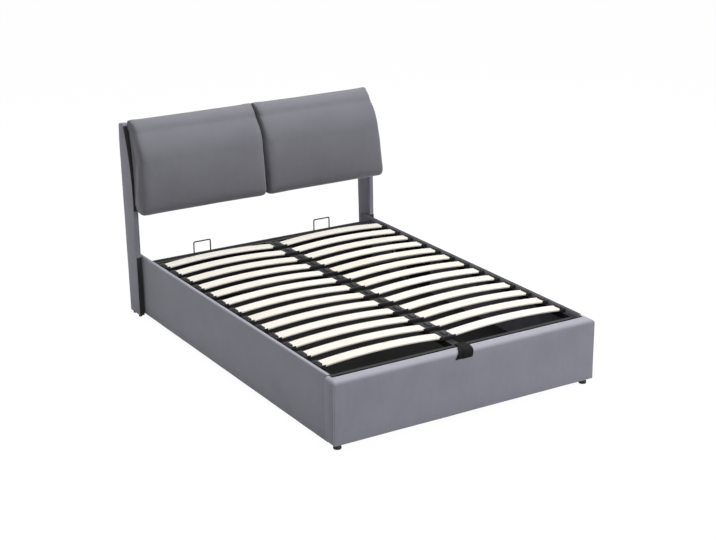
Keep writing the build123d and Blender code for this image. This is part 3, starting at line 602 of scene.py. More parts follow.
class Form:
    """A mesh in the making, with the steps that the bed's pieces share."""

    def __init__(self, name: str) -> None:
        """Start an empty mesh."""
        self.name = name
        self.mesh = bmesh.new()

    def outline(self, points: Iterable[Sequence[float]]) -> bmesh.types.BMFace:
        """Lay a flat outline.

        Args:
            points: Its corners in order.

        Returns:
            The face between them.
        """
        return self.mesh.faces.new([self.mesh.verts.new(Vector(p)) for p in points])

    def pull(self, faces: Sequence[bmesh.types.BMFace], way: Vector) -> None:
        """Extrude faces.

        Args:
            faces: The faces to pull.
            way: The way that they go.
        """
        made = bmesh.ops.extrude_face_region(self.mesh, geom=list(faces))["geom"]
        bmesh.ops.translate(self.mesh, verts=[g for g in made if isinstance(g, bmesh.types.BMVert)], vec=way)

    def round_edges(self, test: Callable[[bmesh.types.BMEdge], bool], radius: float, segments: int) -> None:
        """Round the edges that pass a test.

        Args:
            test: Says whether an edge is rounded.
            radius: How far the rounding reaches from the edge.
            segments: How many faces it has.
        """
        chosen = [e for e in self.mesh.edges if test(e)]
        bmesh.ops.bevel(self.mesh, geom=chosen, offset=radius, offset_type="OFFSET", segments=segments,
                        profile=0.5, affect="EDGES", material=-1, clamp_overlap=True)

    def cut(self, axis: Axis, places: Iterable[float]) -> None:
        """Cut rings of edges into the mesh, and keep both sides.

        Args:
            axis: The axis that the cuts lie across.
            places: Where they lie along it.
        """
        normal = Vector([1.0 if i == axis else 0.0 for i in range(3)])
        for place in places:
            every = [*self.mesh.verts, *self.mesh.edges, *self.mesh.faces]
            bmesh.ops.bisect_plane(self.mesh, geom=every, dist=SAME, plane_co=normal * place, plane_no=normal)

    def pad(self, axis: Axis, side: float, level: float, amount: float, spans: dict[Axis, Point],
            power: float = 4.0) -> None:
        """Swell a flat face, most in its middle.

        Args:
            axis: The axis that the face looks along.
            side: Which way it looks, 1 or -1.
            level: Where the face lies along the axis.
            amount: How far its middle swells.
            spans: The face's extent along the two other axes.
            power: How flat the middle stays.
        """
        for vert in self.mesh.verts:
            if not close(vert.co[axis], level, 0.6 * MM):
                continue
            share = 1.0
            for other, (low, high) in spans.items():
                t = abs(2 * (vert.co[other] - low) / (high - low) - 1)
                share *= max(0.0, 1 - min(t, 1.0) ** power)
            vert.co[axis] += side * amount * share

    def ripple(self, amount: float, waves: float, seed: float,
               test: Callable[[Vector], bool] = lambda spot: True) -> None:
        """Move the surface in and out a little, as cloth over foam lies.

        Args:
            amount: The most that a point moves.
            waves: Waves per metre.
            seed: Shifts the pattern.
            test: Says which points may move.
        """
        self.mesh.normal_update()
        for vert in self.mesh.verts:
            if test(vert.co):
                here = vert.co * waves + Vector((seed, seed * 1.7, -seed))
                vert.co += vert.normal * amount * noise.noise(here)

    def sew(self, axis: Axis, place: float, width: float, depth: float,
            test: Callable[[bmesh.types.BMVert], bool]) -> None:
        """Press a seam line into the surface.

        Args:
            axis: The axis that the seam lies across.
            place: Where it lies along it.
            width: Half its width.
            depth: How deep it goes.
            test: Says which points it passes.
        """
        self.cut(axis, (place - width, place, place + width))
        self.mesh.normal_update()
        for vert in self.mesh.verts:
            if close(vert.co[axis], place) and test(vert):
                vert.co -= vert.normal * depth

    def block(self, size: Sequence[float], middle: Sequence[float]) -> list[bmesh.types.BMVert]:
        """Add a box.

        Args:
            size: Its length, width and height.
            middle: Where its middle lies.

        Returns:
            Its corners.
        """
        made = bmesh.ops.create_cube(self.mesh, size=1.0)["verts"]
        bmesh.ops.scale(self.mesh, verts=made, vec=size)
        bmesh.ops.translate(self.mesh, verts=made, vec=middle)
        return made

    def lay(self, points: Sequence[Point], left: float, width: float, columns: int) -> None:
        """Lay a strip of faces along a run of points.

        Args:
            points: The run, in places along the bed and heights.
            left: Where the strip's side lies across the bed.
            width: How wide it is.
            columns: How many faces wide it is.
        """
        verts = [self.mesh.verts.new((left, y, z)) for y, z in points]
        edges = [self.mesh.edges.new(pair) for pair in zip(verts, verts[1:])]
        for _ in range(columns):
            made = bmesh.ops.extrude_edge_only(self.mesh, edges=edges)["geom"]
            edges = [g for g in made if isinstance(g, bmesh.types.BMEdge)]
            moved = [g for g in made if isinstance(g, bmesh.types.BMVert)]
            bmesh.ops.translate(self.mesh, verts=moved, vec=(width / columns, 0, 0))

    def done(self, finishes: Sequence[bpy.types.Material], body: Body,
             replaces: Sequence[str] = ()) -> bpy.types.Object:
        """Make the object, and set it on its body.

        Args:
            finishes: Its materials, in the order of the faces' material numbers.
            body: The body that it rides on.
            replaces: The solids that it stands for.

        Returns:
            The object.
        """
        bmesh.ops.remove_doubles(self.mesh, verts=self.mesh.verts[:], dist=SAME)
        bmesh.ops.recalc_face_normals(self.mesh, faces=self.mesh.faces[:])
        for face in self.mesh.faces:
            face.smooth = True
        data = bpy.data.meshes.new(self.name)
        self.mesh.to_mesh(data)
        self.mesh.free()
        return settle(linked(self.name, data), finishes, body, replaces)


@contextmanager
def editing(data: bpy.types.Mesh) -> Iterator[bmesh.types.BMesh]:
    """Open a mesh for work, and write it back.

    Args:
        data: The mesh.

    Yields:
        Its bmesh.
    """
    form = bmesh.new()
    form.from_mesh(data)
    yield form
    form.to_mesh(data)
    form.free()


def linked(name: str, data: bpy.types.ID) -> bpy.types.Object:
    """Put data into the scene.

    Args:
        name: The object's name.
        data: What it shows.

    Returns:
        The object.
    """
    made = bpy.data.objects.new(name, data)
    bpy.context.scene.collection.objects.link(made)
    return made


def settle(piece: bpy.types.Object, finishes: Sequence[bpy.types.Material], body: Body,
           replaces: Sequence[str] = ()) -> bpy.types.Object:
    """Dress an object and set it on its body.

    Args:
        piece: The object.
        finishes: Its materials.
        body: The body that it rides on.
        replaces: The solids that it stands for.

    Returns:
        The same object.
    """
    piece.data.materials.clear()
    for finish in finishes:
        piece.data.materials.append(finish)
    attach(piece, body.value)
    if replaces:
        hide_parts(*replaces)
    log.info("%s: %d faces on %s", piece.name, len(piece.data.polygons), body.value)
    return piece


def sharpened(piece: bpy.types.Object, angle: float) -> None:
    """Mark edges sharper than an angle, so that they show.

    Args:
        piece: The object.
        angle: The angle, in degrees.
    """
    with editing(piece.data) as form:
        for edge in form.edges:
            if bent(edge, angle):
                edge.smooth = False


def bent(edge: bmesh.types.BMEdge, angle: float) -> bool:
    """Whether the faces at an edge meet at more than an angle in degrees."""
    return len(edge.link_faces) == 2 and edge.calc_face_angle(0.0) > math.radians(angle)


def thicken(piece: bpy.types.Object, thickness: float) -> None:
    """Give a sheet its thickness, half of it on each side.

    Args:
        piece: The sheet.
        thickness: How thick it is.
    """
    wall = piece.modifiers.new("Thick", "SOLIDIFY")
    wall.thickness = thickness
    wall.offset = 0


def close(first: float, second: float, within: float = NEAR) -> bool:
    """Whether two lengths are as good as the same."""
    return abs(first - second) < within


def held(number: float) -> float:
    """A number held between zero and one."""
    return min(max(number, 0.0), 1.0)


def evenly(low: float, high: float, count: int) -> list[float]:
    """Places that cut a span into even parts, its ends left out."""
    return [low + (high - low) * (i + 1) / (count + 1) for i in range(count)]


# ---------------------------------------------------------------- upholstered frame


class Finishes:
    """Every material of the bed, made once, by the record's slot."""

    def __init__(self) -> None:
        """Make the materials."""
        rows = slat_places()
        # The third colour of each velvet is painted on faces that look up: a painted highlight on the frame
        # and cushion covers.
        grey, brushed, painted_top_shading = (0.161, 0.161, 0.190), (0.220, 0.220, 0.263), (0.320, 0.320, 0.372)
        # A copy of the frame velvet paints its tops in shade instead, for the right rail's top.
        painted_shade_top = (0.040, 0.040, 0.046)
        self.shaded_top_velvet = Velvet("frame_velvet_painted_shade_top", grey, brushed, painted_shade_top, 0.15).make()
        self.slots = {
            "frame_fabric": Velvet("frame_velvet", grey, brushed, painted_top_shading, 0.7).make(),
            "cushion_fabric": Velvet("cushion_velvet", (0.099, 0.099, 0.114), (0.137, 0.137, 0.158),
                                     (0.160, 0.160, 0.184), 0.45).make(),
            # The lining also dresses the dark strips on the posts' front faces, beside the rails and
            # cushions: there it is painted shade, a dark sheet over velvet faces that lie in shade.
            "lining": LiningCloth("black_lining_and_painted_shade", (0.018, 0.018, 0.020)).make(),
            "webbing": Webbing("strap_webbing").make(),
            "black_plastic": MouldedPlastic("black_plastic", (0.014, 0.014, 0.015)).make(),
            "holder_plastic": MouldedPlastic("holder_plastic", (0.013, 0.013, 0.015), 0.5).make(),
            "rubber_pad": MouldedPlastic("rubber_pad", (0.018, 0.018, 0.018), 0.8, 0.3 * MM).make(),
            "frame_steel": PaintedSteel("painted_frame", (0.012, 0.012, 0.013), 0.5).make(),
            "wire_steel": PaintedSteel("painted_wire", (0.006, 0.006, 0.006), 0.45, 0.06 * MM).make(),
            "bright_steel": BrightSteel("plated_steel").make(),
            "slat_wood": SlatVeneer("slat_veneer", rows[1] - rows[0], rows[0]).make(),
            "board": Fibreboard("particle_board", (0.46, 0.34, 0.21)).make(),
            # The storage floor's cover is near black, far darker than the lining: partly its own black cloth,
            # partly painted shade inside the box under the slats.
            "panel_board": LiningCloth("covered_board_painted_shade", (0.004, 0.004, 0.004)).make(),
        }

    def dress_solids(self) -> None:
        """Give every carried-over solid its finish."""
        for entry in frame["record"]["subparts"]:
            solid = frame["nodes"][entry["node"]]
            solid.data.materials.clear()
            solid.data.materials.append(self.slots[entry["material_slot"]])
            log.info("%s: finished as %s", entry["node"], entry["material_slot"])


@dataclass
class Footboard:
    """The padded footboard: a wide front, two short returns and a lap over the inner edge."""

    finishes: Finishes
    roll: float = 18 * MM
    corner: float = 7 * MM
    small_round: float = 3 * MM
    return_width: float = 24 * MM
    depth: float = 60 * MM
    lap: float = 42 * MM
    inner_skin: float = 1.4 * MM
    crown: float = 3.5 * MM
    top_crown: float = 2.2 * MM
    rows: int = 9
    columns: int = 44
    margin: float = 12 * MM
    seam: tuple[float, float, float] = (15 * MM, 2 * MM, 1.1 * MM)
    waves: tuple[float, float, float] = (0.9 * MM, 9.0, 3.1)
    wrinkles: tuple[float, float, float] = (0.35 * MM, 34.0, 8.3)

    def build(self) -> None:
        """Make the cover and its seams."""
        low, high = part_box("footboard_cover")
        half, front, tip, base, top = high[0], low[1], high[1], low[2], high[2]
        inner, back, rolled = half - self.return_width, front + self.depth, top - self.roll
        bare, lap_low = back - self.inner_skin, top - self.lap
        form = Form("FootboardCover")
        plan = [(-half, front), (half, front), (half, tip), (inner, tip), (inner, bare), (-inner, bare),
                (-inner, tip), (-half, tip)]
        face = form.outline([(x, y, base) for x, y in plan])
        form.pull([face], Vector((0, 0, top - base)))

        def on_top_rim(edge: bmesh.types.BMEdge) -> bool:
            """Whether an edge is on the rolled rim: the front and the two sides."""
            a, b = (v.co for v in edge.verts)
            if min(a.z, b.z) < top - NEAR:
                return False
            return max(a.y, b.y) < front + NEAR or min(abs(a.x), abs(b.x)) > half - NEAR

        def on_corner(edge: bmesh.types.BMEdge) -> bool:
            """Whether an edge runs up a front corner or over its roll."""
            a, b = (v.co for v in edge.verts)
            spread = max(abs((half - abs(v.x)) - (v.y - front)) for v in (a, b))
            near = max(a.y, b.y) < front + self.roll + APART and min(abs(a.x), abs(b.x)) > inner
            return near and spread < 2 * APART and (a - b).length > APART

        def on_foot(edge: bmesh.types.BMEdge) -> bool:
            """Whether an edge runs round the foot, except along the inner face."""
            return all(close(v.co.z, base) and v.co.y < bare - APART for v in edge.verts)

        def on_return(edge: bmesh.types.BMEdge) -> bool:
            """Whether an edge runs up the outer end of a return."""
            return all(close(v.co.y, tip) and abs(v.co.x) > half - APART and v.co.z < rolled
                       for v in edge.verts)

        form.round_edges(on_top_rim, self.roll, 7)
        form.round_edges(on_corner, self.corner, 4)
        form.round_edges(on_foot, self.small_round, 2)
        form.round_edges(on_return, self.small_round, 3)
        form.cut(Axis.Z, (lap_low,))
        middles = {f: f.calc_center_median() for f in form.mesh.faces}
        form.pull([f for f, m in middles.items() if close(m.y, bare) and m.z > lap_low],
                  Vector((0, self.inner_skin, 0)))
        for f in form.mesh.faces:
            middle = f.calc_center_median()
            f.material_index = int(close(middle.y, bare) and middle.z < lap_low)
        form.cut(Axis.Z, evenly(base + self.margin, rolled, self.rows))
        form.cut(Axis.X, evenly(-half + self.margin, half - self.margin, self.columns))
        form.cut(Axis.Y, evenly(back, tip, 3))
        form.pad(Axis.Y, -1, front, self.crown,
                 {Axis.X: (-half + self.corner, half - self.corner), Axis.Z: (base, rolled)}, 6.0)
        form.pad(Axis.Z, 1, top, self.top_crown,
                 {Axis.X: (-half + self.roll, half - self.roll), Axis.Y: (front + self.roll, back + 2 * MM)})
        form.ripple(*self.waves, lambda p: p.y < front + 2 * MM or p.z > top - 30 * MM)
        form.ripple(*self.wrinkles, lambda p: p.y < front + 4 * MM or abs(p.x) > half - 1 * MM)
        place, width, depth = self.seam
        form.sew(Axis.Y, front + place, width, depth,
                 lambda v: abs(v.co.x) > half - 2 * MM and v.co.z < rolled)
        cloths = [self.finishes.slots["frame_fabric"], self.finishes.slots["lining"]]
        sharpened(form.done(cloths, Body.ROOT, ["footboard_cover"]), 50)


@dataclass
class RailCover:
    """A padded rail cover: a long slab, its inner face bare between two laps."""

    finishes: Finishes
    node: str
    name: str
    inner_skin: float = 1.4 * MM
    lap: float = 40 * MM
    roll: float = 6 * MM
    foot_roll: float = 3 * MM
    inner_roll: float = 2.5 * MM
    crown: float = 2.5 * MM
    top_crown: float = 0.8 * MM
    along: Axis = Axis.Y
    outward: float = 1.0
    seed: float = 1.0
    slot: str = "frame_fabric"
    cloth: bpy.types.Material | None = None
    rows: int = 9
    columns: int = 60
    end_rings: Point = (2 * MM, 6 * MM)
    face_depth: float = 4 * MM
    waves: Point = (0.8 * MM, 8.0)
    wrinkles: Point = (0.3 * MM, 30.0)
    tuck: Point = (5 * MM, 2.2 * MM)

    def build(self) -> None:
        """Make the cover."""
        low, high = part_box(self.node)
        across = Axis.X if self.along == Axis.Y else Axis.Y
        outer, inner = (high[across], low[across]) if self.outward > 0 else (low[across], high[across])
        bare = inner + self.outward * self.inner_skin
        base, top = low[2], high[2]
        start, end = low[self.along], high[self.along]
        section = [(inner, base), (outer, base), (outer, top), (inner, top), (inner, top - self.lap),
                   (bare, top - self.lap), (bare, base + self.lap), (inner, base + self.lap)]
        form = Form(self.name)

        def spot(u: float, z: float, run: float) -> tuple[float, float, float]:
            """A point from its place across, its height and its place along."""
            return (u, run, z) if self.along == Axis.Y else (run, u, z)

        def long_edge(u: float, z: float) -> Callable[[bmesh.types.BMEdge], bool]:
            """A test for the long edge at a place across and a height."""
            return lambda e: all(close(v.co[across], u) and close(v.co.z, z) for v in e.verts)

        face = form.outline([spot(u, z, start) for u, z in section])
        form.pull([face], Vector(spot(0, 0, end - start)))
        form.round_edges(long_edge(outer, top), self.roll, 5)
        form.round_edges(long_edge(outer, base), self.foot_roll, 3)
        form.round_edges(long_edge(inner, top), self.inner_roll, 3)
        for f in form.mesh.faces:
            f.material_index = int(close(f.calc_center_median()[across], bare))
        first, second = self.end_rings
        between = evenly(start + second, end - second, self.columns)
        form.cut(self.along, [start + first, start + second, *between, end - second, end - first])
        form.cut(Axis.Z, evenly(base + self.foot_roll, top - self.roll, self.rows))
        form.pad(across, self.outward, outer, self.crown,
                 {self.along: (start, end), Axis.Z: (base, top - self.roll)}, 7.0)
        form.pad(Axis.Z, 1, top, self.top_crown,
                 {self.along: (start, end), across: (min(inner, outer) - 1 * MM, max(inner, outer) + 1 * MM)})

        def outside(p: Vector) -> bool:
            """Whether a point is on the outer face."""
            return close(p[across], outer, self.face_depth)

        form.ripple(*self.waves, self.seed, outside)
        form.ripple(*self.wrinkles, self.seed + 5, lambda p: outside(p) or p.z > top - 2 * MM)
        reach, amount = self.tuck
        for vert in form.mesh.verts:
            nearest = min(vert.co[self.along] - start, end - vert.co[self.along])
            if nearest < reach and outside(vert.co):
                vert.co[across] -= self.outward * amount * (1 - nearest / reach) ** 2
        cloths = [self.cloth or self.finishes.slots[self.slot], self.finishes.slots["lining"]]
        sharpened(form.done(cloths, Body.ROOT, [self.node]), 50)


@dataclass
class Post:
    """A headboard post wrapped in velvet."""

    finishes: Finishes
    side: str
    rim: float = 4 * MM
    seed: float = 2.0
    lean: float = 35 * MM
    back_top: Point = (30 * MM, 1056 * MM)
    crest: float = 962 * MM
    back_knee: Point = (31 * MM, 850 * MM)
    tip_round: float = 9 * MM
    rows: int = 34
    waves: Point = (0.5 * MM, 10.0)
    wrinkles: Point = (0.25 * MM, 40.0)

    def profile(self) -> list[Point]:
        """The post's outline in places along the bed and heights.

        Returns:
            Its points in order.
        """
        low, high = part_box(f"headboard_post_cover_{self.side}")
        foot, bottom = high[1] - self.lean, low[2]
        edge = PostFront.measured()
        front = [(edge.at(z), z) for z in (bottom, (bottom + edge.knee) / 2)]
        front += edge.arc().points(14)
        tip, knee = ((foot + shift, height) for shift, height in (self.back_top, self.back_knee))
        back = Arc(tip, (high[1], self.crest), knee).points(6)
        slope = [(knee[0] + (foot - knee[0]) * t, knee[1] + (bottom - knee[1]) * t) for t in (0.33, 0.66)]
        return [*front, *back, *slope, (foot, bottom)]

    def build(self) -> None:
        """Make the post's cover."""
        node = f"headboard_post_cover_{self.side}"
        low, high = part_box(node)
        form = Form(f"PostCover_{self.side}")
        face = form.outline([(low[0], y, z) for y, z in self.profile()])
        tops = sorted(face.verts, key=lambda v: -v.co.z)[:2]
        bmesh.ops.bevel(form.mesh, geom=tops, offset=self.tip_round, offset_type="OFFSET", segments=5,
                        profile=0.5, affect="VERTICES", material=-1)
        form.pull(form.mesh.faces[:], Vector((high[0] - low[0], 0, 0)))
        form.round_edges(lambda e: close(e.verts[0].co.x, e.verts[1].co.x, SAME), self.rim, 4)
        form.cut(Axis.Z, evenly(low[2], high[2], self.rows))
        form.cut(Axis.Y, evenly(low[1] + 30 * MM, high[1] - 60 * MM, 2))
        form.ripple(*self.waves, self.seed)
        form.ripple(*self.wrinkles, self.seed + 3)
        outward = 1 if low[0] > 0 else -1
        wall = high[0] if outward > 0 else low[0]
        for vert in form.mesh.verts:
            if outward * vert.co.x > outward * wall:
                vert.co.x = wall
        sharpened(form.done([self.finishes.slots["frame_fabric"]], Body.ROOT, [node]), 60)


@dataclass(frozen=True)
class Arc:
    """The circle through three points, each a place along the bed and a height."""

    first: Point
    middle: Point
    last: Point

    def circle(self) -> tuple[float, float, float]:
        """Where the circle lies.

        Returns:
            Its centre and radius.
        """
        (x1, y1), (x2, y2), (x3, y3) = self.first, self.middle, self.last
        d = 2 * (x1 * (y2 - y3) + x2 * (y3 - y1) + x3 * (y1 - y2))
        s1, s2, s3 = x1 * x1 + y1 * y1, x2 * x2 + y2 * y2, x3 * x3 + y3 * y3
        cx = (s1 * (y2 - y3) + s2 * (y3 - y1) + s3 * (y1 - y2)) / d
        cy = (s1 * (x3 - x2) + s2 * (x1 - x3) + s3 * (x2 - x1)) / d
        return cx, cy, math.hypot(x1 - cx, y1 - cy)

    def points(self, count: int) -> list[Point]:
        """Points along the arc, its ends among them.

        Args:
            count: How many points it gets.

        Returns:
            The points in order.
        """
        cx, cy, radius = self.circle()
        start = math.atan2(self.first[1] - cy, self.first[0] - cx)
        turn = math.remainder(math.atan2(self.last[1] - cy, self.last[0] - cx) - start, 2 * math.pi)
        angles = [start + turn * i / (count - 1) for i in range(count)]
        return [(cx + radius * math.cos(a), cy + radius * math.sin(a)) for a in angles]


@dataclass(frozen=True)
class PostFront:
    """The posts' front edge: nearly upright at first, then an arc that leans back."""

    foot: float
    top: float
    base: float = 12 * MM
    knee: float = 600 * MM
    knee_shift: float = 12 * MM
    swing: float = 89 * MM
    halfway: Point = (0.315, 0.595)

    @classmethod
    def measured(cls) -> "PostFront":
        """The edge as the posts' solids have it."""
        low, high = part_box("headboard_post_cover_left")
        return cls(low[1], high[2])

    def arc(self) -> Arc:
        """The curved upper part."""
        start, rise = self.foot + self.knee_shift, self.top - self.knee
        share, height = self.halfway
        return Arc((start, self.knee), (start + share * self.swing, self.knee + height * rise),
                   (start + self.swing, self.top))

    def at(self, height: float) -> float:
        """The edge's place along the bed.

        Args:
            height: The height above the floor.

        Returns:
            The place at that height.
        """
        if height < self.knee:
            return self.foot + self.knee_shift * (height - self.base) / (self.knee - self.base)
        cx, cy, radius = self.arc().circle()
        return cx - math.sqrt(max(radius * radius - (height - cy) ** 2, 0.0))


# ---------------------------------------------------------------- cushions


@dataclass
class Cushion:
    """A headboard cushion: foam in a boxed velvet cover, flat on its board, piped round its back."""

    finishes: Finishes
    side: str
    voxel: float = 6 * MM
    shrink: float = 3 * MM
    pressure: float = 4.0
    cap: float = 5 * MM
    frames: int = 20
    board: float = 8.6 * MM
    still: float = 6 * MM
    fade: float = 30 * MM
    smooth_depth: float = 45 * MM
    cord: float = 1.9 * MM
    cord_depth: float = 7 * MM
    trip_inset: float = 60 * MM
    trip_step: float = 9 * MM
    swell: float = 1.0 * MM
    fine_swell: float = 0.25 * MM
    flat_back: float = 25 * MM
    corner: float = 55 * MM
    corner_inset: Point = (14 * MM, 10 * MM)
    fold: float = 0.9 * MM
    ear: Point = (14 * MM, 8 * MM)
    ear_reach: float = 60 * MM
    seed: float = 4.0

    def build(self) -> None:
        """Make the cushion: a closed form, blown up as cloth, then shaped and piped."""
        node = frame["nodes"][f"cushion_{self.side}"]
        piece = self.closed_form(node)
        self.blow_up(piece)
        self.divide(piece)
        self.shape_cover(piece)
        settle(piece, [self.finishes.slots["cushion_fabric"]], Body.ROOT, [node.name])
        self.pipe(piece)

    def depth(self, front: "PostFront", spot: Vector) -> float:
        """How far a point lies in front of the cushion's board."""
        return front.at(spot.z) - self.board - spot.y

    def closed_form(self, node: bpy.types.Object) -> bpy.types.Object:
        """A remeshed copy of the cushion's solid, drawn in a little.

        Args:
            node: The cushion's solid.

        Returns:
            The new object.
        """
        name = f"Cushion_{self.side}"
        data = node.data.copy()
        data.name = name
        with editing(data) as form:
            bmesh.ops.remove_doubles(form, verts=form.verts[:], dist=NEAR)
        piece = linked(name, data)
        remesh = piece.modifiers.new("Even", "REMESH")
        remesh.mode = "VOXEL"
        remesh.voxel_size = self.voxel
        apply_modifiers(piece)
        with editing(piece.data) as form:
            self.relax(form, 2)
            form.normal_update()
            for vert in form.verts:
                vert.co -= vert.normal * self.shrink
        return piece

    @staticmethod
    def relax(form: bmesh.types.BMesh, passes: int,
              test: Callable[[Vector], bool] = lambda spot: True) -> None:
        """Even out the points' places.

        Args:
            form: The mesh.
            passes: How often each point goes half way to its neighbours.
            test: Says which points may move.
        """
        chosen = [v for v in form.verts if test(v.co)]
        for _ in range(passes):
            bmesh.ops.smooth_vert(form, verts=chosen, factor=0.5, use_axis_x=True, use_axis_y=True,
                                  use_axis_z=True)

    def blow_up(self, piece: bpy.types.Object) -> None:
        """Let air pressure round the cover: its moves are evened out, capped and kept off the board.

        Args:
            piece: The cushion.
        """
        start = [v.co.copy() for v in piece.data.vertices]
        cloth = piece.modifiers.new("Air", "CLOTH")
        settings = cloth.settings
        settings.quality = 4
        settings.mass = 0.4
        settings.tension_stiffness = settings.compression_stiffness = 22
        settings.shear_stiffness = 12
        settings.bending_stiffness = 1.4
        settings.use_pressure = True
        settings.uniform_pressure_force = self.pressure
        settings.effector_weights.gravity = 0
        cloth.collision_settings.use_collision = False
        scene = bpy.context.scene
        cloth.point_cache.frame_end = self.frames
        for step in range(1, self.frames + 1):
            scene.frame_set(step)
        apply_modifiers(piece)
        scene.frame_set(1)
        front = PostFront.measured()
        with editing(piece.data) as form:
            for vert, before in zip(form.verts, start):
                vert.co -= before
            self.relax(form, 12)
            for vert, before in zip(form.verts, start):
                move = vert.co.normalized() * min(vert.co.length, self.cap)
                vert.co = before + move * held((self.depth(front, before) - self.still) / self.fade)

    @staticmethod
    def divide(piece: bpy.types.Object) -> None:
        """Divide the cover once.

        Args:
            piece: The cushion.
        """
        finer = piece.modifiers.new("Finer", "SUBSURF")
        finer.levels = finer.render_levels = 1
        apply_modifiers(piece)
        for face in piece.data.polygons:
            face.use_smooth = True

    def shape_cover(self, piece: bpy.types.Object) -> None:
        """Fit the cover back into its space, let it lie a little unevenly, and pucker its corners.

        Args:
            piece: The cushion.
        """
        low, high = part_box(f"cushion_{self.side}")
        front = PostFront.measured()
        across, up = self.corner_inset
        corners = [Vector((x, 0, z)) for x in (low[0] + across, high[0] - across)
                   for z in (low[2] + up, high[2] - up)]
        with editing(piece.data) as form:
            self.relax(form, 60, lambda p: self.depth(front, p) > self.smooth_depth)
            now = [[pick(v.co[i] for v in form.verts) for i in range(3)] for pick in (min, max)]
            log.info("Cushion_%s before it is fitted: %s to %s", self.side, *now)
            for vert in form.verts:
                for i in range(3):
                    share = (vert.co[i] - now[0][i]) / (now[1][i] - now[0][i])
                    vert.co[i] = low[i] + share * (high[i] - low[i])
            form.normal_update()
            for vert in form.verts:
                depth = self.depth(front, vert.co)
                vert.co += vert.normal * self.unevenness(vert.co, depth, corners)
                for side, wall in ((-1, low[0]), (1, high[0])):
                    gaps = (abs(vert.co.x - wall), high[2] - vert.co.z, depth)
                    share = math.prod(held((self.ear_reach - gap) / self.ear_reach) ** 0.7 for gap in gaps)
                    vert.co.x = min(max(vert.co.x + side * self.ear[0] * share, low[0]), high[0])
                    vert.co.z = min(vert.co.z + self.ear[1] * share, high[2])

    def unevenness(self, spot: Vector, depth: float, corners: Sequence[Vector]) -> float:
        """How far the cover stands out at a point.

        Args:
            spot: The point.
            depth: How far it lies in front of the board.
            corners: The middles of the puckers.

        Returns:
            The distance.
        """
        here = spot * 5.0 + Vector((self.seed, 0, self.seed))
        fine = spot * 19.0 + Vector((0, self.seed, 0))
        out = self.swell * noise.noise(here) + self.fine_swell * noise.noise(fine)
        out *= held(depth / self.flat_back)
        for corner in corners:
            reach = Vector((spot.x - corner.x, 0, spot.z - corner.z))
            if reach.length < self.corner:
                fold = math.sin(11.0 * math.atan2(reach.z, reach.x) + self.seed + corner.z * 9.0)
                out += self.fold * fold * (1 - reach.length / self.corner) ** 1.5
        return out

    def pipe(self, piece: bpy.types.Object) -> None:
        """Lay the piping round the cover, close to its back.

        Args:
            piece: The cushion.
        """
        form = bmesh.new()
        form.from_mesh(piece.data)
        tree = BVHTree.FromBMesh(form)
        form.free()
        front, box = PostFront.measured(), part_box(f"cushion_{self.side}")
        found = (self.cord_place(tree, front, inner, out) for inner, out in self.round_trip(*box))
        points = [place for place in found if place is not None]
        name = f"Piping_{self.side}"
        curve = bpy.data.curves.new(name, "CURVE")
        curve.dimensions = "3D"
        curve.bevel_depth = self.cord
        curve.bevel_resolution = 1
        spline = curve.splines.new("POLY")
        spline.points.add(len(points) - 1)
        for point, place in zip(spline.points, points):
            point.co = (*place, 1.0)
        spline.use_cyclic_u = True
        holder = linked(name, curve)
        data = bpy.data.meshes.new_from_object(holder.evaluated_get(bpy.context.evaluated_depsgraph_get()))
        bpy.data.objects.remove(holder)
        data.name = name
        for face in data.polygons:
            face.use_smooth = True
        settle(linked(name, data), [self.finishes.slots["cushion_fabric"]], Body.ROOT)

    def cord_place(self, tree: BVHTree, front: "PostFront", inner: Vector, out: Vector) -> Vector | None:
        """Where the piping lies on the cover.

        Args:
            tree: The cover's faces.
            front: The edge that the board follows.
            inner: A point inside the cover.
            out: The way out from it.

        Returns:
            The place, or None where the cover isn't met.
        """
        hit, height = None, inner.z
        for _ in range(4):
            start = Vector((inner.x, front.at(height) - self.board - self.cord_depth, inner.z)) + out
            found = tree.ray_cast(start, -out)[0]
            if found is None:
                break
            hit, height = found, found.z
        return hit

    def round_trip(self, low: Vector, high: Vector) -> Iterable[tuple[Vector, Vector]]:
        """Points inside the cover and the ways out from them, once round.

        Args:
            low: The cover's lowest corner.
            high: Its highest corner.

        Yields:
            A point inside, and the way out from it.
        """
        left, right = low[0] + self.trip_inset, high[0] - self.trip_inset
        base, top = low[2] + self.trip_inset, high[2] - self.trip_inset
        runs = [((left, base), (right, base), -90.0), ((right, base), (right, top), 0.0),
                ((right, top), (left, top), 90.0), ((left, top), (left, base), 180.0)]
        for (x1, z1), (x2, z2), angle in runs:
            count = max(2, round(math.hypot(x2 - x1, z2 - z1) / self.trip_step))
            out = Vector((math.cos(math.radians(angle)), 0, math.sin(math.radians(angle))))
            for i in range(count):
                yield Vector((x1 + (x2 - x1) * i / count, 0, z1 + (z2 - z1) * i / count)), out
            for i in range(9):
                turned = math.radians(angle + 10.0 * i)
                yield Vector((x2, 0, z2)), Vector((math.cos(turned), 0, math.sin(turned)))


def apply_modifiers(piece: bpy.types.Object) -> None:
    """Replace an object's mesh by what its modifiers make of it.

    Args:
        piece: The object.
    """
    graph = bpy.context.evaluated_depsgraph_get()
    made = bpy.data.meshes.new_from_object(piece.evaluated_get(graph))
    old = piece.data
    name = old.name
    piece.modifiers.clear()
    piece.data = made
    bpy.data.meshes.remove(old)
    made.name = name


# ---------------------------------------------------------------- small pieces


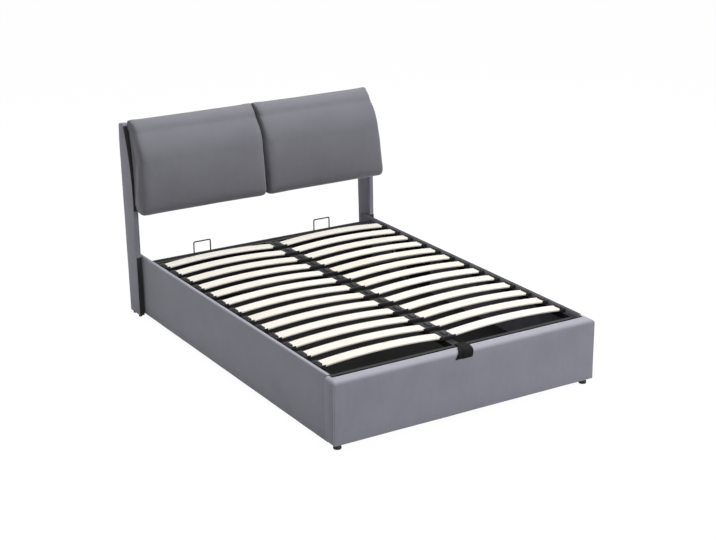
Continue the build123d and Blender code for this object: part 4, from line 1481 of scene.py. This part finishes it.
@dataclass
class PullStrap:
    """The doubled webbing strap over the footboard."""

    finishes: Finishes
    width: float = 55 * MM
    thick: float = 2.3 * MM
    layer_step: float = 2.5 * MM
    clear: float = 1.25 * MM
    on_tube: float = 0.1 * MM
    roll: float = 18 * MM
    saddle: Point = (64 * MM, 56 * MM)
    saddle_dip: float = 4.5 * MM
    drop: float = 14 * MM
    start: float = 14.5 * MM
    ends: Point = (-60 * MM, -22 * MM)
    soft_edge: float = 0.8 * MM

    def route(self, rise: float) -> list[Point]:
        """The strap's run, in places along the bed and heights.

        Args:
            rise: How far it lies above the lowest layer.

        Returns:
            The points from the frame to the strap's end.
        """
        low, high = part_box("footboard_cover")
        tube_low, tube_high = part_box("foot_tube")
        front, top, tube_top = low[1], high[2], tube_high[2] + rise + self.on_tube
        level = top + self.clear + rise
        reach = self.roll + self.clear + rise
        edge = front - self.clear - rise
        centre = (edge + reach, level - reach)
        bend = [(centre[0] - reach * math.sin(t), centre[1] + reach * math.cos(t))
                for t in (math.pi / 2 * i / 7 for i in range(8))]
        return [(tube_high[1], tube_top), (tube_low[1] + 2 * MM, tube_top),
                (front + self.saddle[0], level - self.saddle_dip), (front + self.saddle[1], level),
                *bend, (edge, centre[1] - 6 * MM), (edge, top - self.roll - self.drop)]

    def build(self) -> None:
        """Make both layers."""
        for number in range(2):
            self.ribbon(number)

    def ribbon(self, number: int) -> None:
        """Make one layer of the strap.

        Args:
            number: 0 for the lower layer, 1 for the upper one.
        """
        form = Form(f"PullStrapLayer_{number}")
        points = self.route(number * self.layer_step + self.thick / 2)
        left = self.start - self.width / 2
        form.lay(points, left, self.width, 8)
        run = [0.0]
        for here, there in zip(points, points[1:]):
            run.append(run[-1] + math.dist(here, there))
        lengths = {(round(y, 6), round(z, 6)): s for (y, z), s in zip(points, run)}

        def along(co: Vector) -> float:
            """How far along the strap a point lies."""
            return lengths[(round(co.y, 6), round(co.z, 6))]

        uv = form.mesh.loops.layers.uv.new("run")
        for face in form.mesh.faces:
            for loop in face.loops:
                loop[uv].uv = (loop.vert.co.x - left, along(loop.vert.co))
        slant = (self.ends[number] - self.start) / (run[-1] - run[1])
        for vert in form.mesh.verts:
            vert.co.x += slant * max(0.0, along(vert.co) - run[1])
        bmesh.ops.recalc_face_normals(form.mesh, faces=form.mesh.faces[:])
        piece = form.done([self.finishes.slots["webbing"]], Body.PLATFORM, ["pull_strap"])
        thicken(piece, self.thick)
        soft = piece.modifiers.new("Soft", "BEVEL")
        soft.width = self.soft_edge
        soft.segments = 2
        soft.limit_method = "ANGLE"


@dataclass
class SlatHolders:
    """The plastic holders on the frame: rounded sockets, with a boss over each pair of slat ends."""

    finishes: Finishes
    edge: float = 1.3 * MM
    boss: tuple[float, float, float] = (26 * MM, 46 * MM, 7 * MM)
    outer_boss: tuple[float, float, float] = (16 * MM, 52 * MM, 5 * MM)
    outer_inset: float = 14 * MM

    def build(self) -> None:
        """Make the holders from their solid, and add the bosses."""
        form = Form("SlatHolders")
        form.mesh.from_mesh(frame["nodes"]["slat_holders"].data)
        bmesh.ops.remove_doubles(form.mesh, verts=form.mesh.verts[:], dist=SAME)
        bmesh.ops.dissolve_limit(form.mesh, angle_limit=math.radians(1.0), verts=form.mesh.verts[:],
                                 edges=form.mesh.edges[:])
        form.round_edges(lambda e: bent(e, 25), self.edge, 2)
        low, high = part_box("slat_holders")
        for y in slat_places():
            self.add_boss(form, Vector((0, y, high[2])), self.boss)
            for side, x in ((-1, low[0]), (1, high[0])):
                self.add_boss(form, Vector((x - side * self.outer_inset, y, high[2])), self.outer_boss)
        holder = self.finishes.slots["holder_plastic"]
        sharpened(form.done([holder], Body.PLATFORM, ["slat_holders"]), 40)

    @staticmethod
    def add_boss(form: Form, place: Vector, size: tuple[float, float, float]) -> None:
        """Add one rounded boss.

        Args:
            form: The holders' mesh.
            place: The middle of its foot.
            size: Its length, width and height.
        """
        made = form.block((size[0], size[1], 2 * size[2]), place)
        edges = {e for v in made for e in v.link_edges if max(w.co.z for w in e.verts) > place.z}
        bmesh.ops.bevel(form.mesh, geom=list(edges), offset=size[2] * 0.7, offset_type="OFFSET", segments=3,
                        profile=0.5, affect="EDGES", material=-1, clamp_overlap=True)


@dataclass
class BackCloth:
    """The lining stretched over the headboard's back and top edge, and the staples that hold it."""

    finishes: Finishes
    panel: float = 15 * MM
    clear: float = 0.9 * MM
    thick: float = 0.8 * MM
    side_gap: float = 1 * MM
    staple: tuple[float, float, float] = (11 * MM, 0.9 * MM, 1.2 * MM)
    staple_round: float = 0.35 * MM
    spacing: float = 62 * MM
    waves: tuple[float, float, float] = (0.6 * MM, 6.0, 3.3)

    def route(self) -> list[Point]:
        """The cloth's run, in places along the bed and heights.

        Returns:
            The points from the panel's front edge over the batten and down to the panel's foot.
        """
        low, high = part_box("headboard_panel")
        batten_low, batten_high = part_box("headboard_top_batten")
        back, top = batten_high[1] + self.clear, high[2] + self.clear
        knee = (batten_low[1] + batten_high[1] - high[1] + self.clear, batten_low[2])
        foot = (low[1] + self.panel + self.clear, low[2] + 2 * MM)
        run = [(high[1] - self.panel + 1 * MM, top), (back - 1 * MM, top), (back, top - 1 * MM)]
        run += [(back + (knee[0] - back) * t, top + (knee[1] - top) * t) for t in (0.33, 0.66, 1.0)]
        return run + [(knee[0] + (foot[0] - knee[0]) * t, knee[1] + (foot[1] - knee[1]) * t)
                      for t in (i / 12 for i in range(1, 13))]

    def build(self) -> None:
        """Stretch the cloth and set its staples."""
        run = self.route()
        upper, lower = run[4], run[-2]
        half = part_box("headboard_panel")[1][0] - self.side_gap
        form = Form("BackCloth")
        form.lay(run, -half, 2 * half, 40)
        form.ripple(*self.waves, lambda p: p.z < upper[1])
        cloth = form.done([self.finishes.slots["lining"]], Body.ROOT)
        sharpened(cloth, 50)
        thicken(cloth, self.thick)
        staples = Form("BackClothStaples")
        count = int(2 * half / self.spacing)
        for y, z in (upper, lower):
            for i in range(count):
                staples.block(self.staple, (self.spacing * (i - (count - 1) / 2), y + self.thick, z))
        staples.round_edges(lambda e: True, self.staple_round, 2)
        pins = staples.done([self.finishes.slots["bright_steel"]], Body.ROOT)


def slat_places() -> list[float]:
    """The middle of each row of slats, along the bed."""
    low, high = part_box("slats_right")
    span = high[1] - low[1] - SLAT_WIDTH
    return [low[1] + SLAT_WIDTH / 2 + span * row / (SLAT_ROWS - 1) for row in range(SLAT_ROWS)]


@dataclass
class Glides:
    """The turned feet under the bed, their profile in shares of radius and height."""

    finishes: Finishes
    profile: Sequence[Point] = (
        (0.0, 0.0), (0.80, 0.0), (0.93, 0.05), (0.98, 0.14), (0.98, 0.34), (0.90, 0.42),
        (0.86, 0.50), (0.86, 0.80), (0.97, 0.86), (0.98, 0.97), (0.94, 1.0), (0.0, 1.0),
    )

    def build(self) -> None:
        """Make every foot that stands on the floor."""
        for node in ("footboard_glides", "post_glides", "centre_legs"):
            self.turned(node)

    def turned(self, node: str) -> None:
        """Make the feet that replace one node.

        Args:
            node: The node with the plain feet.
        """
        form = Form(f"{node}_turned")
        for centre, radius, height in self.places(node):
            verts = [form.mesh.verts.new((centre[0] + r * radius, centre[1], h * height))
                     for r, h in self.profile]
            edges = [form.mesh.edges.new(pair) for pair in zip(verts, verts[1:])]
            bmesh.ops.spin(form.mesh, geom=[*verts, *edges], cent=(centre[0], centre[1], 0), axis=(0, 0, 1),
                           angle=2 * math.pi, steps=40, use_merge=True)
        piece = form.done([self.finishes.slots["black_plastic"]], Body.ROOT, [node])
        sharpened(piece, 42)

    @staticmethod
    def places(node: str) -> list[tuple[Point, float, float]]:
        """Centre, radius and height of each foot in a node.

        Args:
            node: The node's name.

        Returns:
            One entry for each foot.
        """
        low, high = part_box(node)
        source = bmesh.new()
        source.from_mesh(frame["nodes"][node].data)
        bmesh.ops.remove_doubles(source, verts=source.verts[:], dist=NEAR)
        left = set(source.verts)
        found = []
        while left:
            group, queue = set(), [next(iter(left))]
            while queue:
                vert = queue.pop()
                if vert in group:
                    continue
                group.add(vert)
                queue.extend(e.other_vert(vert) for e in vert.link_edges)
            left -= group
            xs, ys = [v.co.x for v in group], [v.co.y for v in group]
            centre = ((min(xs) + max(xs)) / 2, (min(ys) + max(ys)) / 2)
            found.append((centre, (max(xs) - min(xs)) / 2, high[2] - low[2]))
        source.free()
        return sorted(found)


# ---------------------------------------------------------------- studio


@dataclass
class Studio:
    """A pale floor, soft light and the camera."""

    lens: float = 80.70
    place: tuple[float, float, float] = (-4.008, -6.6589, 3.074)
    yaw: float = 31.44
    pitch: float = 18.94
    roll: float = -0.43
    sky: float = 0.35
    floor_white: float = 0.93
    floor_glow: float = 1.04
    floor_colour: tuple[float, ...] = (0.86, 0.86, 0.87, 1.0)
    floor_half: float = 45.0
    floor_level: float = -0.5 * MM

    def build(self) -> None:
        """Make the floor, the lamps, the world and the camera."""
        self.floor()
        self.world()
        self.lamp("OverheadLamp", (0.4, -0.2, 4.4), (0, 0, 0.4), 3.4, 188.0)
        self.lamp("FrontRightLamp", (2.3, -5.8, 2.6), (0, 0, 0.5), 2.6, 142.0)
        self.camera()
        bpy.context.scene.view_settings.view_transform = "Standard"

    def camera(self) -> None:
        """Set the camera where the photograph was taken from."""
        data = bpy.data.cameras.new("Camera")
        data.lens = self.lens
        data.sensor_width = 36.0
        data.clip_end = 100.0
        eye = linked("Camera", data)
        turn = (Matrix.Rotation(-math.radians(self.yaw), 4, "Z")
                @ Matrix.Rotation(math.radians(90 - self.pitch), 4, "X")
                @ Matrix.Rotation(math.radians(self.roll), 4, "Z"))
        eye.matrix_world = Matrix.Translation(self.place) @ turn
        bpy.context.scene.camera = eye

    def lamp(self, name: str, place: Sequence[float], aim: Sequence[float], size: float,
             power: float) -> None:
        """Hang a square soft lamp.

        Args:
            name: Its name.
            place: Where it hangs.
            aim: What it points at.
            size: Its side.
            power: Its power in watts.
        """
        data = bpy.data.lights.new(name, "AREA")
        data.shape = "SQUARE"
        data.size = size
        data.energy = power
        lamp = linked(name, data)
        lamp.location = place
        lamp.rotation_mode = "QUATERNION"
        lamp.rotation_quaternion = (Vector(aim) - Vector(place)).to_track_quat("-Z", "Y")

    def world(self) -> None:
        """Light the room evenly, and show it white."""
        world = bpy.data.worlds.new("Room")
        bpy.context.scene.world = world
        m = NodeMaker(world)
        strength = m.seen_plainly() * (1.0 - self.sky) + self.sky
        back = m.add("ShaderNodeBackground", {}, {"Color": (1.0, 1.0, 1.0, 1.0), "Strength": strength})
        m.add("ShaderNodeOutputWorld", {}, {"Surface": back}, None)

    def floor(self) -> None:
        """Lay the floor: white where the camera sees it, with a soft shadow."""
        data = bpy.data.meshes.new("Floor")
        with editing(data) as form:
            bmesh.ops.create_grid(form, x_segments=4, y_segments=4, size=self.floor_half)
            bmesh.ops.translate(form, verts=form.verts[:], vec=(0, 0, self.floor_level))
        linked("Floor", data)
        material = bpy.data.materials.new("pale_floor")
        m = NodeMaker(material)
        matt = m.add("ShaderNodeBsdfDiffuse", {}, {"Color": self.floor_colour})
        glow = {"Color": (1.0, 1.0, 1.0, 1.0), "Strength": self.floor_glow}
        white = m.add("ShaderNodeEmission", {}, glow)
        share = m.seen_plainly() * self.floor_white
        mixed = m.add("ShaderNodeMixShader", {}, {0: share, 1: matt, 2: white})
        m.add("ShaderNodeOutputMaterial", {}, {"Surface": mixed}, None)
        data.materials.append(material)


def main() -> None:
    """Build the bed, piece by piece."""
    logging.basicConfig(level=logging.INFO, format="%(name)s %(message)s", force=True)
    Studio().build()
    finishes = Finishes()
    finishes.dress_solids()
    Footboard(finishes).build()
    RailCover(finishes, "side_rail_cover_left", "SideRailCover_left", outward=-1.0, seed=2.3).build()
    # The right rail's top is painted in shade by its own copy of the velvet.
    RailCover(finishes, "side_rail_cover_right", "SideRailCover_right", outward=1.0, seed=6.1,
              cloth=finishes.shaded_top_velvet).build()
    RailCover(finishes, "head_rail_cover", "HeadRailCover", along=Axis.X, outward=-1.0, crown=1.2 * MM,
              seed=9.7, slot="lining").build()
    Post(finishes, "left", seed=2.0).build()
    Post(finishes, "right", seed=7.0).build()
    Cushion(finishes, "left", seed=4.0).build()
    Cushion(finishes, "right", seed=12.0).build()
    PullStrap(finishes).build()
    SlatHolders(finishes).build()
    BackCloth(finishes).build()
    Glides(finishes).build()


if __name__ == "__main__":
    main()
